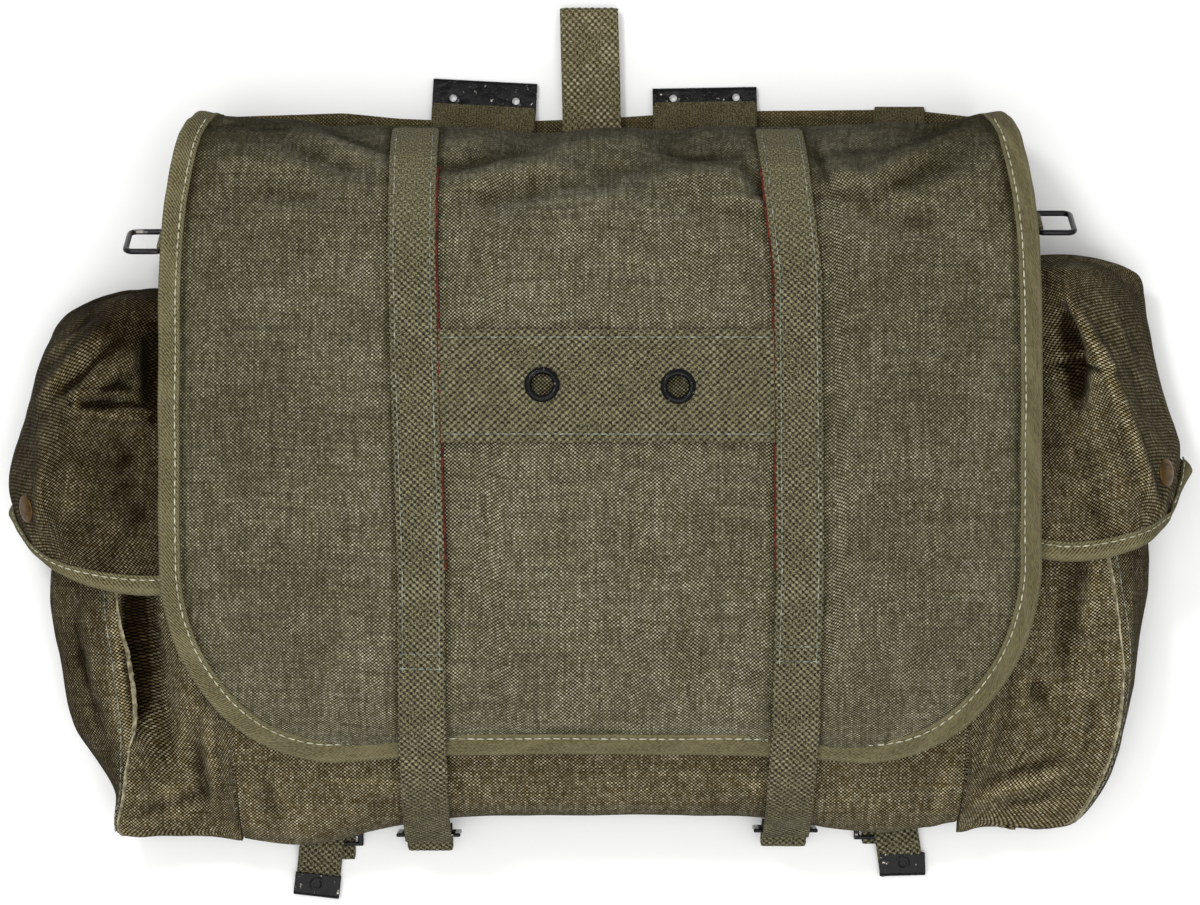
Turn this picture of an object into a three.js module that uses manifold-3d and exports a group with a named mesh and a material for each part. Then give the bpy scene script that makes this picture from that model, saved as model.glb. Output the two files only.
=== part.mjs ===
// A canvas rucksack that lies on its back. Sizes are in millimetres.
// +Z is up, out of the bag's front. +Y points to the bag's top and +X to its right.
import * as THREE from "three";
import { mergeVertices } from "three/addons/utils/BufferGeometryUtils.js";
import Module from "manifold-3d";

// Materials' thickness and the clearance between neighbours
const CLOTH = 1.6;
const WEBBING = 2.0;
const TAPE = 1.1;
const PLATE = 1.0;
const GAP = 0.35;
const SEWN_GAP = 0.5;
const BINDING_GAP = 0.7;

// Crown of the front and the lid: height falls off as this power of the distance from the middle
const CROWN_POWER = 2.6;

// Lid, from its hinge on the back, over the top and down the front to its hem.
// yMid, zMid: middle of the row. ySide, zSide: its ends. half: half width.
const LID_ROWS = [
  { name: "hinge", yMid: 172, zMid: 2, ySide: 172, zSide: 2, half: 207 },
  { name: "heel", yMid: 175, zMid: 27, ySide: 180, zSide: 25, half: 212 },
  { name: "fold", yMid: 170, zMid: 63, ySide: 180, zSide: 57, half: 216 },
  { name: "brow", yMid: 148, zMid: 95, ySide: 163, zSide: 81, half: 223 },
  { name: "upper", yMid: 106, zMid: 110, ySide: 112, zSide: 91, half: 230 },
  { name: "middle", yMid: 22, zMid: 118.5, ySide: 22, zSide: 93, half: 231 },
  { name: "lower", yMid: -56, zMid: 118, ySide: -56, zSide: 92, half: 231 },
  { name: "curve", yMid: -104, zMid: 114.5, ySide: -106, zSide: 89, half: 231 },
  { name: "roll", yMid: -138, zMid: 106, ySide: -143, zSide: 85, half: 231 },
  { name: "hem", yMid: -157, zMid: 97, ySide: -162, zSide: 80, half: 231 },
];
const LID_CORNER = { start: -56, wide: 92, tall: 106 };
const LID_STEPS = 3;
const LID_COLUMNS = 18;
const LID_FOLD_ROW = 2;
const LID_CORNER_ROW = 6;

// Folds pressed into the lid: a ridge (height above 0) or a hollow along a line
const LID_FOLDS = [
  { name: "hollow beside right strap", from: [128, 150], to: [142, 112], width: 20, height: -5 },
  { name: "ridge to right corner", from: [150, 160], to: [188, 172], width: 16, height: 4 },
  { name: "hollow beside left strap", from: [-125, 150], to: [-150, 120], width: 22, height: -3 },
  { name: "wave between straps", from: [-60, 150], to: [60, 146], width: 14, height: -3 },
];

// Front wall, from its mouth down to the base and under it to the back.
const FRONT_ROWS = [
  { name: "mouth", y: 148, half: 194, seamZ: 70, crownZ: 86 },
  { name: "upper", y: 106, half: 196, seamZ: 82, crownZ: 103 },
  { name: "middle", y: 0, half: 196, seamZ: 86, crownZ: 112 },
  { name: "lower", y: -105, half: 195, seamZ: 84, crownZ: 108 },
  { name: "below lid", y: -158, half: 194, seamZ: 72, crownZ: 88 },
  { name: "shoulder", y: -187, half: 193, seamZ: 53, crownZ: 65 },
  { name: "base", y: -196, half: 192, seamZ: 29, crownZ: 33 },
  { name: "tuck", y: -191, half: 192, seamZ: 4.2, crownZ: 4.2 },
];
const FRONT_STEPS = 2;
const FRONT_COLUMNS = 14;
const BASE_ROW = 6;
const SAG_ROWS = 2;
const BASE_SAGS = [
  { x: -166, width: 45, drop: 13 },
  { x: 150, width: 36, drop: 7 },
];

// Side walls run from the front wall's edge down to the back
const SIDE = { setOff: 2.1, drop: 1, backX: 211, backZ: 2.15, bulge: 9, rise: 4, leastFall: 0.6 };
const SIDE_COLUMNS = 5;

// Back: flat, with a hem line that dips behind the two hook webs
const BACK_TOP = [
  { x: -204, y: 184 },
  { x: -140, y: 186 },
  { x: -110, y: 183 },
  { x: -60, y: 181 },
  { x: 0, y: 183 },
  { x: 60, y: 187 },
  { x: 168, y: 188 },
  { x: 204, y: 184 },
];
const BACK = { half: 214, bottom: -193, corner: 26 };

// Pockets: one row for each section. Each named point has its distance out from the bag's middle
// and its height: seam on the front, valley, fin (the raised corner seam), belly, foot and inner foot.
const POCKET_POINTS = ["seam", "valley", "fin", "belly", "foot", "inner"];
const POCKET_ROWS = {
  left: [
    { name: "mouth", y: 62, seam: [200, 84], valley: [232, 66], fin: [256, 64], belly: [284, 38],
      foot: [276, 4], inner: [222, 2.6] },
    { name: "upper", y: -10, seam: [200, 85], valley: [234, 66], fin: [258, 66], belly: [291, 36],
      foot: [282, 3], inner: [219, 2.6] },
    { name: "flap edge", y: -72, seam: [200, 85], valley: [240, 60], fin: [261, 68], belly: [299, 35],
      foot: [288, 3], inner: [218, 2.6] },
    { name: "middle", y: -112, seam: [199, 83], valley: [240, 56], fin: [257, 67], belly: [293, 34],
      foot: [283, 3], inner: [217, 2.6] },
    { name: "low", y: -150, seam: [199, 75], valley: [236, 50], fin: [254, 61], belly: [285, 32],
      foot: [276, 3], inner: [217, 2.6] },
    { name: "floor", y: -182, seam: [198.5, 58], valley: [230, 44], fin: [257, 52], belly: [266, 28],
      foot: [257, 3], inner: [217, 2.6] },
    { name: "corner", y: -207, seam: [198, 38], valley: [224, 37], fin: [260, 44], belly: [258, 25],
      foot: [250, 4], inner: [218, 3.2] },
    { name: "turn", y: -208, seam: [200, 33], valley: [216, 33], fin: [240, 35], belly: [240, 22],
      foot: [236, 6], inner: [219, 4] },
    { name: "closed", y: -201, seam: [204, 29], valley: [211, 29], fin: [219, 28], belly: [223, 19],
      foot: [223, 9], inner: [221, 5] },
  ],
  right: [
    { name: "mouth", y: 76, seam: [200, 84], valley: [238, 62], fin: [260, 64], belly: [280, 38],
      foot: [272, 4], inner: [222, 2.6] },
    { name: "upper", y: 0, seam: [200, 85], valley: [240, 63], fin: [264, 66], belly: [291, 36],
      foot: [282, 3], inner: [219, 2.6] },
    { name: "flap edge", y: -55, seam: [200, 85], valley: [244, 60], fin: [271, 67], belly: [299, 35],
      foot: [289, 3], inner: [218, 2.6] },
    { name: "middle", y: -105, seam: [199, 83], valley: [250, 58], fin: [278, 61], belly: [294, 34],
      foot: [284, 3], inner: [217, 2.6] },
    { name: "low", y: -147, seam: [199, 75], valley: [247, 50], fin: [278, 52], belly: [286, 30],
      foot: [277, 3], inner: [217, 2.6] },
    { name: "floor", y: -180, seam: [198.5, 58], valley: [234, 43], fin: [268, 42], belly: [275, 26],
      foot: [264, 3], inner: [217, 2.6] },
    { name: "corner", y: -202, seam: [198, 36], valley: [224, 34], fin: [257, 35], belly: [260, 22],
      foot: [250, 4], inner: [218, 3.2] },
    { name: "turn", y: -205, seam: [200, 32], valley: [216, 32], fin: [240, 32], belly: [241, 20],
      foot: [236, 6], inner: [219, 4] },
    { name: "closed", y: -200, seam: [204, 29], valley: [211, 29], fin: [219, 28], belly: [223, 19],
      foot: [223, 9], inner: [221, 5] },
  ],
};
const POCKET_STEPS = { along: 2, across: 2 };

// Pocket flaps: hoods that start low behind the pocket's mouth and end in a bound hem.
// Each named point has its distance out, its place up the bag and its height.
const FLAP_POINTS = ["tuck", "cheek", "ridge", "belly", "foot"];
const FLAP_ROWS = {
  left: [
    { name: "heel", tuck: [212.6, 80, 6], cheek: [240, 85, 6], ridge: [263, 83, 6],
      belly: [284, 74, 6], foot: [290, 66, 6] },
    { name: "back", tuck: [215.4, 85, 36], cheek: [240, 88, 37], ridge: [268, 85, 35],
      belly: [290, 75, 27], foot: [295, 65, 9] },
    { name: "crown", tuck: [206.4, 83, 71], cheek: [237, 84, 64], ridge: [270, 80, 61],
      belly: [296, 69, 39], foot: [298, 59, 9] },
    { name: "shoulder", tuck: [201.5, 62, 85.3], cheek: [236, 60, 71], ridge: [271, 58, 77],
      belly: [302, 55, 43], foot: [299, 47, 8] },
    { name: "middle", tuck: [201.5, 20, 86], cheek: [238, 18, 75], ridge: [275, 14, 79],
      belly: [311, 10, 43], foot: [305, 10, 9] },
    { name: "lower", tuck: [201.5, -30, 87.4], cheek: [240, -32, 81], ridge: [280, -30, 77],
      belly: [319, -20, 42], foot: [314, -16, 14] },
    { name: "hem", tuck: [203, -69, 89], cheek: [240, -74, 80], ridge: [280, -69, 76],
      belly: [311, -51, 52], foot: [319.5, -34, 26] },
  ],
  right: [
    { name: "heel", tuck: [212.6, 98, 6], cheek: [240, 103, 6], ridge: [262, 102, 6],
      belly: [280, 95, 6], foot: [285, 86, 6] },
    { name: "back", tuck: [215.4, 102, 36], cheek: [242, 106, 37], ridge: [267, 103, 35],
      belly: [286, 95, 27], foot: [290, 85, 9] },
    { name: "crown", tuck: [206.4, 100, 71], cheek: [242, 100, 62], ridge: [268, 97, 61],
      belly: [290, 88, 39], foot: [292, 78, 9] },
    { name: "shoulder", tuck: [201.5, 78, 85.3], cheek: [243, 75, 67], ridge: [267, 74, 76],
      belly: [295, 71, 43], foot: [292, 64, 8] },
    { name: "middle", tuck: [201.5, 36, 86], cheek: [246, 34, 71], ridge: [274, 32, 78],
      belly: [306, 28, 43], foot: [300, 28, 9] },
    { name: "lower", tuck: [201.5, -10, 87.4], cheek: [245, -13, 80], ridge: [281, -10, 77],
      belly: [316, 0, 42], foot: [311, 4, 14] },
    { name: "hem", tuck: [203, -47, 89], cheek: [246, -56, 80], ridge: [280, -51, 76],
      belly: [307.4, -33.4, 52], foot: [320.2, -9.4, 26] },
  ],
};
const FLAP_STEPS = { along: 2, across: 3 };
const STUD = { radius: 7.5, rim: 0.8, dome: 2.6, row: 10, column: 8, sides: 14 };
const STUD_SHOULDER = { radius: 5.4, height: 2.08 };
const STUD_FLAT = 2.625;

// Folded tape that binds an edge: its width on each face of the cloth
const LID_TAPE_WIDTH = 11;
const FLAP_TAPE_WIDTH = 9;
const FLAP_TAPE_REACH = 0.9;

// Straps on the lid: middle line of each, at places up the bag
const STRAP_WIDTH = 25;
const STRAP_LINES = {
  left: [
    { y: 172, x: -98 },
    { y: 60, x: -97 },
    { y: -60, x: -93 },
    { y: -210, x: -92.5 },
  ],
  right: [
    { y: 172, x: 95 },
    { y: 90, x: 103 },
    { y: -60, x: 104 },
    { y: -210, x: 100 },
  ],
};
// The strap leaves the lid at the cross seam, passes over the hem tape and runs down the base
// through the slide: outer face of the strap in the plane across the bag.
const STRAP_FREE = { from: -112, to: -142, lift: 1.9 };
const STRAP_DROP = [
  { name: "past hem", y: -167, z: 97, pull: 0 },
  { name: "shoulder", y: -182, z: 85, pull: 0 },
  { name: "face", y: -193, z: 70, pull: 0 },
  { name: "above slide", y: -202, z: 54, pull: 0.6 },
  { name: "over top rail", y: -209.6, z: 40, pull: 1 },
  { name: "over top rail", y: -209.4, z: 37, pull: 1 },
  { name: "behind middle bar", y: -203.4, z: 29, pull: 1 },
  { name: "behind middle bar", y: -203.4, z: 26, pull: 1 },
  { name: "over lower rail", y: -209.4, z: 18, pull: 1 },
  { name: "over lower rail", y: -210.4, z: 15, pull: 1 },
  { name: "free end", y: -217.5, z: 10, pull: 1 },
];
const STRAP_PULL = { left: 0, right: 2.4 };
const SLIDE = { wide: 34.5, tall: 25, deep: 2.0, rail: 2.2, slotWide: 28 };
const SLIDE_PLACE = { y: -206.2, z: 27.5 };

// Wide webbing across the lid, with two eyelets
const GEAR_WEB = { top: 64, bottom: 5, columns: 12, rows: 4 };
const EYELETS = { left: { x: -30, y: 35 }, right: { x: 40.5, y: 34 } };
const EYELET = { hole: 5.6, barrel: 6.4, webHole: 6.9, sides: 18, cut: 12 };
const EYELET_ROLL = [
  { radius: 9, height: 0 },
  { radius: 8.7, height: 0.6 },
  { radius: 7.3, height: 1.3 },
  { radius: 6, height: 0.8 },
];

// Wire rings in webbing keepers
const RING = { bar: 28, depth: 20, wire: 1.55, corner: 4, out: 233, lean: 25, split: 0.15 };
const RING_STEPS = { along: 28, around: 8 };
const RING_PLACES = { left: { y: 113, z: 52 }, right: { y: 123, z: 52 } };
const KEEPER = { width: 19.6, thick: 1.8, tail: 15, foot: 18.4, bend: 8, hollow: 4, steps: 26 };
const KEEPER_NECK = { out: -6.5, flare: 0.6, start: -1.5, round: 0.72 };

// Haul loop at the top edge
const HAUL = { x: -4.4, width: 31.8, root: 174, tip: 243.4, low: 2.15, pitch: 4.6, turns: 8 };
const HAUL_STOPS = { under: 199, bend: 231.4, over: 213.4, overRoot: 175 };

// Hook webs and their folded plates at the top edge
const HOOK_WEB = { width: 57, root: 173.8, z: 3.55, pivot: 6, tuck: 4 };
const HOOK_PLATE = { width: 57, root: 176, backRoot: 190, slot: 1.05, foot: 0.1 };
const HOOK_HOLE = { radius: 2.1, spread: 17.2, sides: 12, cut: 12 };
const HOOKS = {
  left: { x: -64, webTop: 188, plateTop: 203.6, holeY: 193.5, turn: -3 },
  right: { x: 57.6, webTop: 190, plateTop: 200, holeY: 194.5, turn: 1 },
};
const TAPE_END = { x: 164, width: 28, bottom: 175, top: 189.4, z: 2.15, thick: 1.3 };

// Strap ends at the base
const BASE_STRAP = { width: 24, thick: 1.8, start: -194.6 };
const BASE_TIP = { length: 12.5, plate: 0.8, slot: 2.5, foot: 0.1, wider: 1, ease: 3, bite: 2.2 };
const BASE_ENDS = {
  left: { tabX: -146, startX: -150, endX: -155.6, slideY: -209, reach: 14, end: -243.4 },
  right: { tabX: 155.5, startX: 160, endX: 165.8, slideY: -205.5, reach: 9, end: -232 },
};
const BASE_TAB = { z: 0.3, root: -193.6, thick: 1.6 };
const BASE_SLIDE = { wide: 33, tall: 13, deep: 1.8, rail: 2.2, slotWide: 27 };

const FINISHES = {
  cloth: { color: 0x55523f, roughness: 0.9, metalness: 0 },
  lidCloth: { color: 0x5d5b49, roughness: 0.9, metalness: 0 },
  webbing: { color: 0x656046, roughness: 0.9, metalness: 0 },
  tape: { color: 0x6c684a, roughness: 0.9, metalness: 0 },
  blackMetal: { color: 0x1c1b1d, roughness: 0.38, metalness: 0.8 },
  wire: { color: 0x3a3a3d, roughness: 0.4, metalness: 0.9 },
  brass: { color: 0x8a6a3c, roughness: 0.45, metalness: 0.8 },
};

const SIDES = { left: -1, right: 1 };
const BAG_INSIDE = new THREE.Vector3(0, -20, 45);
const POCKET_INSIDE = { out: 235, y: -70, z: 35 };
const UNDERGROUND = new THREE.Vector3(0, -215, -50);
const MERGE_TOLERANCE = 1e-3;
const SEARCH_ROUNDS = 30;

const wasm = await Module();
wasm.setup();

const rucksack = new THREE.Group();

function addPiece(name, geometry, finish) {
  const mesh = new THREE.Mesh(geometry, new THREE.MeshStandardMaterial(finish));
  mesh.name = name;
  rucksack.add(mesh);
  return mesh;
}

// Curve through the numbers of a column, one number for each row
function splineAt(values, position) {
  const last = values.length - 1;
  const index = Math.min(Math.floor(position), last - 1);
  const t = position - index;
  const b = values[index];
  const c = values[index + 1];
  const a = index > 0 ? values[index - 1] : 2 * b - c;
  const d = index + 2 <= last ? values[index + 2] : 2 * c - b;
  const cubic = 3 * b - a - 3 * c + d;
  const square = 2 * a - 5 * b + 4 * c - d;
  return 0.5 * (2 * b + (c - a) * t + square * t * t + cubic * t * t * t);
}

function columnAt(rows, column, position) {
  return splineAt(rows.map((row) => row[column]), position);
}

// Value of a column at a place given in another column, by straight lines between the rows
function lookUp(rows, place, column, value) {
  const rising = rows[rows.length - 1][place] > rows[0][place];
  const ordered = rising ? rows : [...rows].reverse();
  for (let index = 1; index < ordered.length; index += 1) {
    const before = ordered[index - 1];
    const after = ordered[index];
    if (value <= after[place] || index === ordered.length - 1) {
      const t = THREE.MathUtils.clamp((value - before[place]) / (after[place] - before[place]), 0, 1);
      return THREE.MathUtils.lerp(before[column], after[column], t);
    }
  }
  return ordered[0][column];
}

function gridOf(rowCount, columnCount, pointAt) {
  const grid = [];
  for (let i = 0; i <= rowCount; i += 1) {
    const row = [];
    for (let j = 0; j <= columnCount; j += 1) {
      row.push(pointAt(i / rowCount, j / columnCount));
    }
    grid.push(row);
  }
  return grid;
}

// Normals of a grid of points, turned away from the point inside
function gridNormals(grid, inside) {
  const lastRow = grid.length - 1;
  const lastColumn = grid[0].length - 1;
  let facing = 0;
  const normals = grid.map((row, i) => row.map((point, j) => {
    const across = row[Math.min(j + 1, lastColumn)].clone().sub(row[Math.max(j - 1, 0)]);
    const along = grid[Math.min(i + 1, lastRow)][j].clone().sub(grid[Math.max(i - 1, 0)][j]);
    const normal = across.cross(along).normalize();
    facing += normal.dot(point.clone().sub(inside));
    return normal;
  }));
  const sign = facing < 0 ? -1 : 1;
  normals.forEach((row) => row.forEach((normal) => normal.multiplyScalar(sign)));
  return { normals, sign };
}

// Closed wall whose outer face is the grid and whose thickness goes inwards
function wallGeometry(grid, thickness, inside) {
  const { normals, sign } = gridNormals(grid, inside);
  const rowCount = grid.length;
  const columnCount = grid[0].length;
  const positions = [];
  const faces = [];
  grid.forEach((row) => row.forEach((point) => positions.push(...point.toArray())));
  grid.forEach((row, i) => row.forEach((point, j) => {
    positions.push(...point.clone().addScaledVector(normals[i][j], -thickness).toArray());
  }));
  const outer = (i, j) => i * columnCount + j;
  const inner = (i, j) => rowCount * columnCount + outer(i, j);
  const addQuad = (a, b, c, d) => {
    const corners = sign > 0 ? [a, b, c, d] : [d, c, b, a];
    faces.push(corners[0], corners[1], corners[2], corners[0], corners[2], corners[3]);
  };
  for (let i = 0; i < rowCount - 1; i += 1) {
    for (let j = 0; j < columnCount - 1; j += 1) {
      addQuad(outer(i, j), outer(i, j + 1), outer(i + 1, j + 1), outer(i + 1, j));
      addQuad(inner(i + 1, j), inner(i + 1, j + 1), inner(i, j + 1), inner(i, j));
    }
    const right = columnCount - 1;
    addQuad(inner(i, 0), outer(i, 0), outer(i + 1, 0), inner(i + 1, 0));
    addQuad(outer(i, right), inner(i, right), inner(i + 1, right), outer(i + 1, right));
  }
  const bottom = rowCount - 1;
  for (let j = 0; j < columnCount - 1; j += 1) {
    addQuad(inner(0, j), inner(0, j + 1), outer(0, j + 1), outer(0, j));
    addQuad(outer(bottom, j), outer(bottom, j + 1), inner(bottom, j + 1), inner(bottom, j));
  }
  const geometry = new THREE.BufferGeometry();
  geometry.setAttribute("position", new THREE.Float32BufferAttribute(positions, 3));
  geometry.setIndex(faces);
  return geometry;
}

// Closed body swept by a ring of corners along a path, one ring for each stop
function sweepGeometry(rings) {
  const positions = [];
  const faces = [];
  const corners = rings[0].length;
  rings.forEach((ring) => ring.forEach((point) => positions.push(...point.toArray())));
  for (let i = 0; i < rings.length - 1; i += 1) {
    for (let j = 0; j < corners; j += 1) {
      const next = (j + 1) % corners;
      const a = i * corners + j;
      const b = i * corners + next;
      faces.push(a, b, b + corners, a, b + corners, a + corners);
    }
  }
  const outline = rings[0].map((point) => point.clone());
  const capFaces = capTriangles(outline);
  const lastRing = (rings.length - 1) * corners;
  capFaces.forEach(([a, b, c]) => {
    faces.push(c, b, a);
    faces.push(lastRing + a, lastRing + b, lastRing + c);
  });
  const geometry = new THREE.BufferGeometry();
  geometry.setAttribute("position", new THREE.Float32BufferAttribute(positions, 3));
  const turned = faces.map((corner, index) => faces[index + 2 - 2 * (index % 3)]);
  geometry.setIndex(signedVolume(positions, faces) < 0 ? turned : faces);
  return geometry;
}

// Triangles of a flat outline in space
function capTriangles(outline) {
  const origin = outline[0];
  const side = outline[1].clone().sub(origin).normalize();
  const normal = new THREE.Vector3();
  outline.forEach((point, index) => {
    const next = outline[(index + 1) % outline.length];
    normal.add(point.clone().sub(origin).cross(next.clone().sub(origin)));
  });
  const up = normal.normalize().clone().cross(side);
  const flat = outline.map((point) => {
    const offset = point.clone().sub(origin);
    return new THREE.Vector2(offset.dot(side), offset.dot(up));
  });
  return THREE.ShapeUtils.triangulateShape(flat, []);
}

function signedVolume(positions, faces) {
  let volume = 0;
  const corner = (index) => new THREE.Vector3().fromArray(positions, faces[index] * 3);
  for (let index = 0; index < faces.length; index += 3) {
    volume += corner(index).dot(corner(index + 1).cross(corner(index + 2)));
  }
  return volume;
}

// Strip of webbing: its outer face follows the path, and its width lies along one direction
function stripGeometry(path, widthDirection, width, thickness, inside) {
  const half = widthDirection.clone().normalize().multiplyScalar(width / 2);
  const grid = path.map((point) => [point.clone().sub(half), point.clone().add(half)]);
  return wallGeometry(grid, thickness, inside);
}

function cutHoles(geometry, cutters) {
  const toSolid = (shape) => {
    const bare = shape.clone();
    bare.deleteAttribute("normal");
    bare.deleteAttribute("uv");
    const merged = mergeVertices(bare, MERGE_TOLERANCE);
    return new wasm.Manifold(new wasm.Mesh({
      numProp: 3,
      vertProperties: new Float32Array(merged.attributes.position.array),
      triVerts: new Uint32Array(merged.index.array),
    }));
  };
  let solid = toSolid(geometry);
  cutters.forEach((cutter) => {
    solid = solid.subtract(toSolid(cutter));
  });
  const mesh = solid.getMesh();
  const result = new THREE.BufferGeometry();
  result.setAttribute("position", new THREE.BufferAttribute(new Float32Array(mesh.vertProperties), 3));
  result.setIndex(new THREE.BufferAttribute(new Uint32Array(mesh.triVerts), 1));
  return result;
}

function frameGeometry({ wide, tall, deep, rail, slotWide }) {
  const outline = new THREE.Shape();
  outline.moveTo(-wide / 2, -tall / 2);
  outline.lineTo(wide / 2, -tall / 2);
  outline.lineTo(wide / 2, tall / 2);
  outline.lineTo(-wide / 2, tall / 2);
  const slotTall = (tall - 3 * rail) / 2;
  [-1, 1].forEach((end) => {
    const middle = end * (rail + slotTall) / 2;
    const slot = new THREE.Path();
    slot.moveTo(-slotWide / 2, middle - slotTall / 2);
    slot.lineTo(-slotWide / 2, middle + slotTall / 2);
    slot.lineTo(slotWide / 2, middle + slotTall / 2);
    slot.lineTo(slotWide / 2, middle - slotTall / 2);
    outline.holes.push(slot);
  });
  const geometry = new THREE.ExtrudeGeometry(outline, { depth: deep, bevelEnabled: false });
  return geometry.translate(0, 0, -deep / 2);
}

// Plate folded in two round an edge, cut across: the fold is at y = 0 and the legs run to -Y
function foldedPlate(width, plate, slot, topLeg, bottomLeg) {
  const high = slot + 2 * plate;
  const section = new THREE.Shape();
  section.moveTo(-bottomLeg, 0);
  section.lineTo(-high / 2, 0);
  section.absarc(-high / 2, high / 2, high / 2, -Math.PI / 2, Math.PI / 2, false);
  section.lineTo(-topLeg, high);
  section.lineTo(-topLeg, high - plate);
  section.lineTo(-high / 2, high - plate);
  section.absarc(-high / 2, high / 2, slot / 2, Math.PI / 2, -Math.PI / 2, true);
  section.lineTo(-bottomLeg, plate);
  const options = { depth: width, bevelEnabled: false, curveSegments: 6 };
  const geometry = new THREE.ExtrudeGeometry(section, options);
  geometry.translate(0, 0, -width / 2);
  const turn = new THREE.Matrix4().makeBasis(
    new THREE.Vector3(0, 1, 0),
    new THREE.Vector3(0, 0, 1),
    new THREE.Vector3(1, 0, 0),
  );
  return geometry.applyMatrix4(turn);
}

// Lid surface at a row position and a fraction across, from -1 to 1
function lidHalf(position) {
  const half = columnAt(LID_ROWS, "half", position);
  const below = (LID_CORNER.start - columnAt(LID_ROWS, "ySide", position)) / LID_CORNER.tall;
  if (below <= 0) {
    return half;
  }
  return half - LID_CORNER.wide * (1 - Math.sqrt(Math.max(0, 1 - below * below)));
}

function foldHeight(folds, x, y) {
  const place = new THREE.Vector2(x, y);
  return folds.reduce((sum, fold) => {
    const from = new THREE.Vector2(...fold.from);
    const line = new THREE.Vector2(...fold.to).sub(from);
    const t = THREE.MathUtils.clamp(place.clone().sub(from).dot(line) / line.lengthSq(), 0, 1);
    const distance = place.distanceTo(from.addScaledVector(line, t));
    return sum + fold.height * Math.exp(-((distance / fold.width) ** 2));
  }, 0);
}

function lidPoint(position, fraction) {
  const row = (column) => columnAt(LID_ROWS, column, position);
  const x = fraction * lidHalf(position);
  const y = THREE.MathUtils.lerp(row("yMid"), row("ySide"), Math.abs(fraction) ** CROWN_POWER);
  const z = THREE.MathUtils.lerp(row("zMid"), row("zSide"), Math.abs(x / row("half")) ** CROWN_POWER);
  const onFront = position > LID_FOLD_ROW ? Math.min(1, position - LID_FOLD_ROW) : 0;
  return new THREE.Vector3(x, y, z + onFront * foldHeight(LID_FOLDS, x, y));
}

function lidNormal(position, fraction) {
  const step = 0.02;
  const across = lidPoint(position, fraction + step).sub(lidPoint(position, fraction - step));
  const last = LID_ROWS.length - 1;
  const along = lidPoint(Math.max(position - step, 0), fraction)
    .sub(lidPoint(Math.min(position + step, last), fraction));
  return across.cross(along).normalize();
}

// Row position of the lid where its surface at x is at a given y, on its front
function lidPositionAt(x, y) {
  let low = LID_FOLD_ROW;
  let high = LID_ROWS.length - 1;
  for (let round = 0; round < SEARCH_ROUNDS; round += 1) {
    const middle = (low + high) / 2;
    if (lidPoint(middle, x / lidHalf(middle)).y > y) {
      low = middle;
    } else {
      high = middle;
    }
  }
  return (low + high) / 2;
}

function lidOffsetPoint(position, x, height) {
  const fraction = x / lidHalf(position);
  return lidPoint(position, fraction).addScaledVector(lidNormal(position, fraction), height);
}

const lidLast = LID_ROWS.length - 1;
const lidRowCount = lidLast * LID_STEPS;
const lidGrid = gridOf(lidRowCount, LID_COLUMNS, (i, j) => lidPoint(i * lidLast, 2 * j - 1));

// U-shaped tape round an edge. Each stop has the edge point and the point where the tape ends on the
// cloth, both with the surface normal there.
function bindingGeometry(stops, thickness) {
  const top = BINDING_GAP + TAPE;
  const under = -thickness - BINDING_GAP;
  const rings = stops.map(({ edge, edgeNormal, inner, innerNormal }) => {
    const outward = edge.clone().sub(inner).normalize();
    const atEdge = (past, above) => {
      return edge.clone().addScaledVector(outward, past).addScaledVector(edgeNormal, above);
    };
    const atInner = (above) => inner.clone().addScaledVector(innerNormal, above);
    return [
      atEdge(top, top),
      atInner(top),
      atInner(BINDING_GAP),
      atEdge(BINDING_GAP, BINDING_GAP),
      atEdge(BINDING_GAP, under),
      atInner(under),
      atInner(under - TAPE),
      atEdge(top, under - TAPE),
    ];
  });
  return sweepGeometry(rings);
}

// Lid and its binding
addPiece("lid", wallGeometry(lidGrid, CLOTH, BAG_INSIDE), FINISHES.lidCloth);

// On the sides the tape's inner edge lies straight in from the edge; round the lower corners and the
// hem it lies square to the edge in plan.
function lidStop(position, fraction, tangent) {
  const edge = lidPoint(position, fraction);
  let innerPosition = position;
  let innerX = edge.x - Math.sign(fraction) * LID_TAPE_WIDTH;
  if (position > LID_CORNER_ROW) {
    const across = new THREE.Vector2(-tangent.y, tangent.x).normalize().multiplyScalar(LID_TAPE_WIDTH);
    innerX = edge.x + across.x;
    innerPosition = lidPositionAt(innerX, edge.y + across.y);
  }
  const innerFraction = innerX / lidHalf(innerPosition);
  return {
    edge,
    edgeNormal: lidNormal(position, fraction),
    inner: lidPoint(innerPosition, innerFraction),
    innerNormal: lidNormal(innerPosition, innerFraction),
  };
}

const lidEdgePlaces = [];
const bindingStart = LID_STEPS - 1;
for (let i = bindingStart; i <= lidRowCount; i += 1) {
  lidEdgePlaces.push([i / LID_STEPS, -1]);
}
for (let j = 1; j < LID_COLUMNS; j += 1) {
  lidEdgePlaces.push([lidLast, (2 * j) / LID_COLUMNS - 1]);
}
for (let i = lidRowCount; i >= bindingStart; i -= 1) {
  lidEdgePlaces.push([i / LID_STEPS, 1]);
}
const lidStops = lidEdgePlaces.map(([position, fraction], index) => {
  const before = lidPoint(...lidEdgePlaces[Math.max(index - 1, 0)]);
  const after = lidPoint(...lidEdgePlaces[Math.min(index + 1, lidEdgePlaces.length - 1)]);
  return lidStop(position, fraction, after.sub(before));
});
addPiece("lid_binding", bindingGeometry(lidStops, CLOTH), FINISHES.tape);

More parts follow.
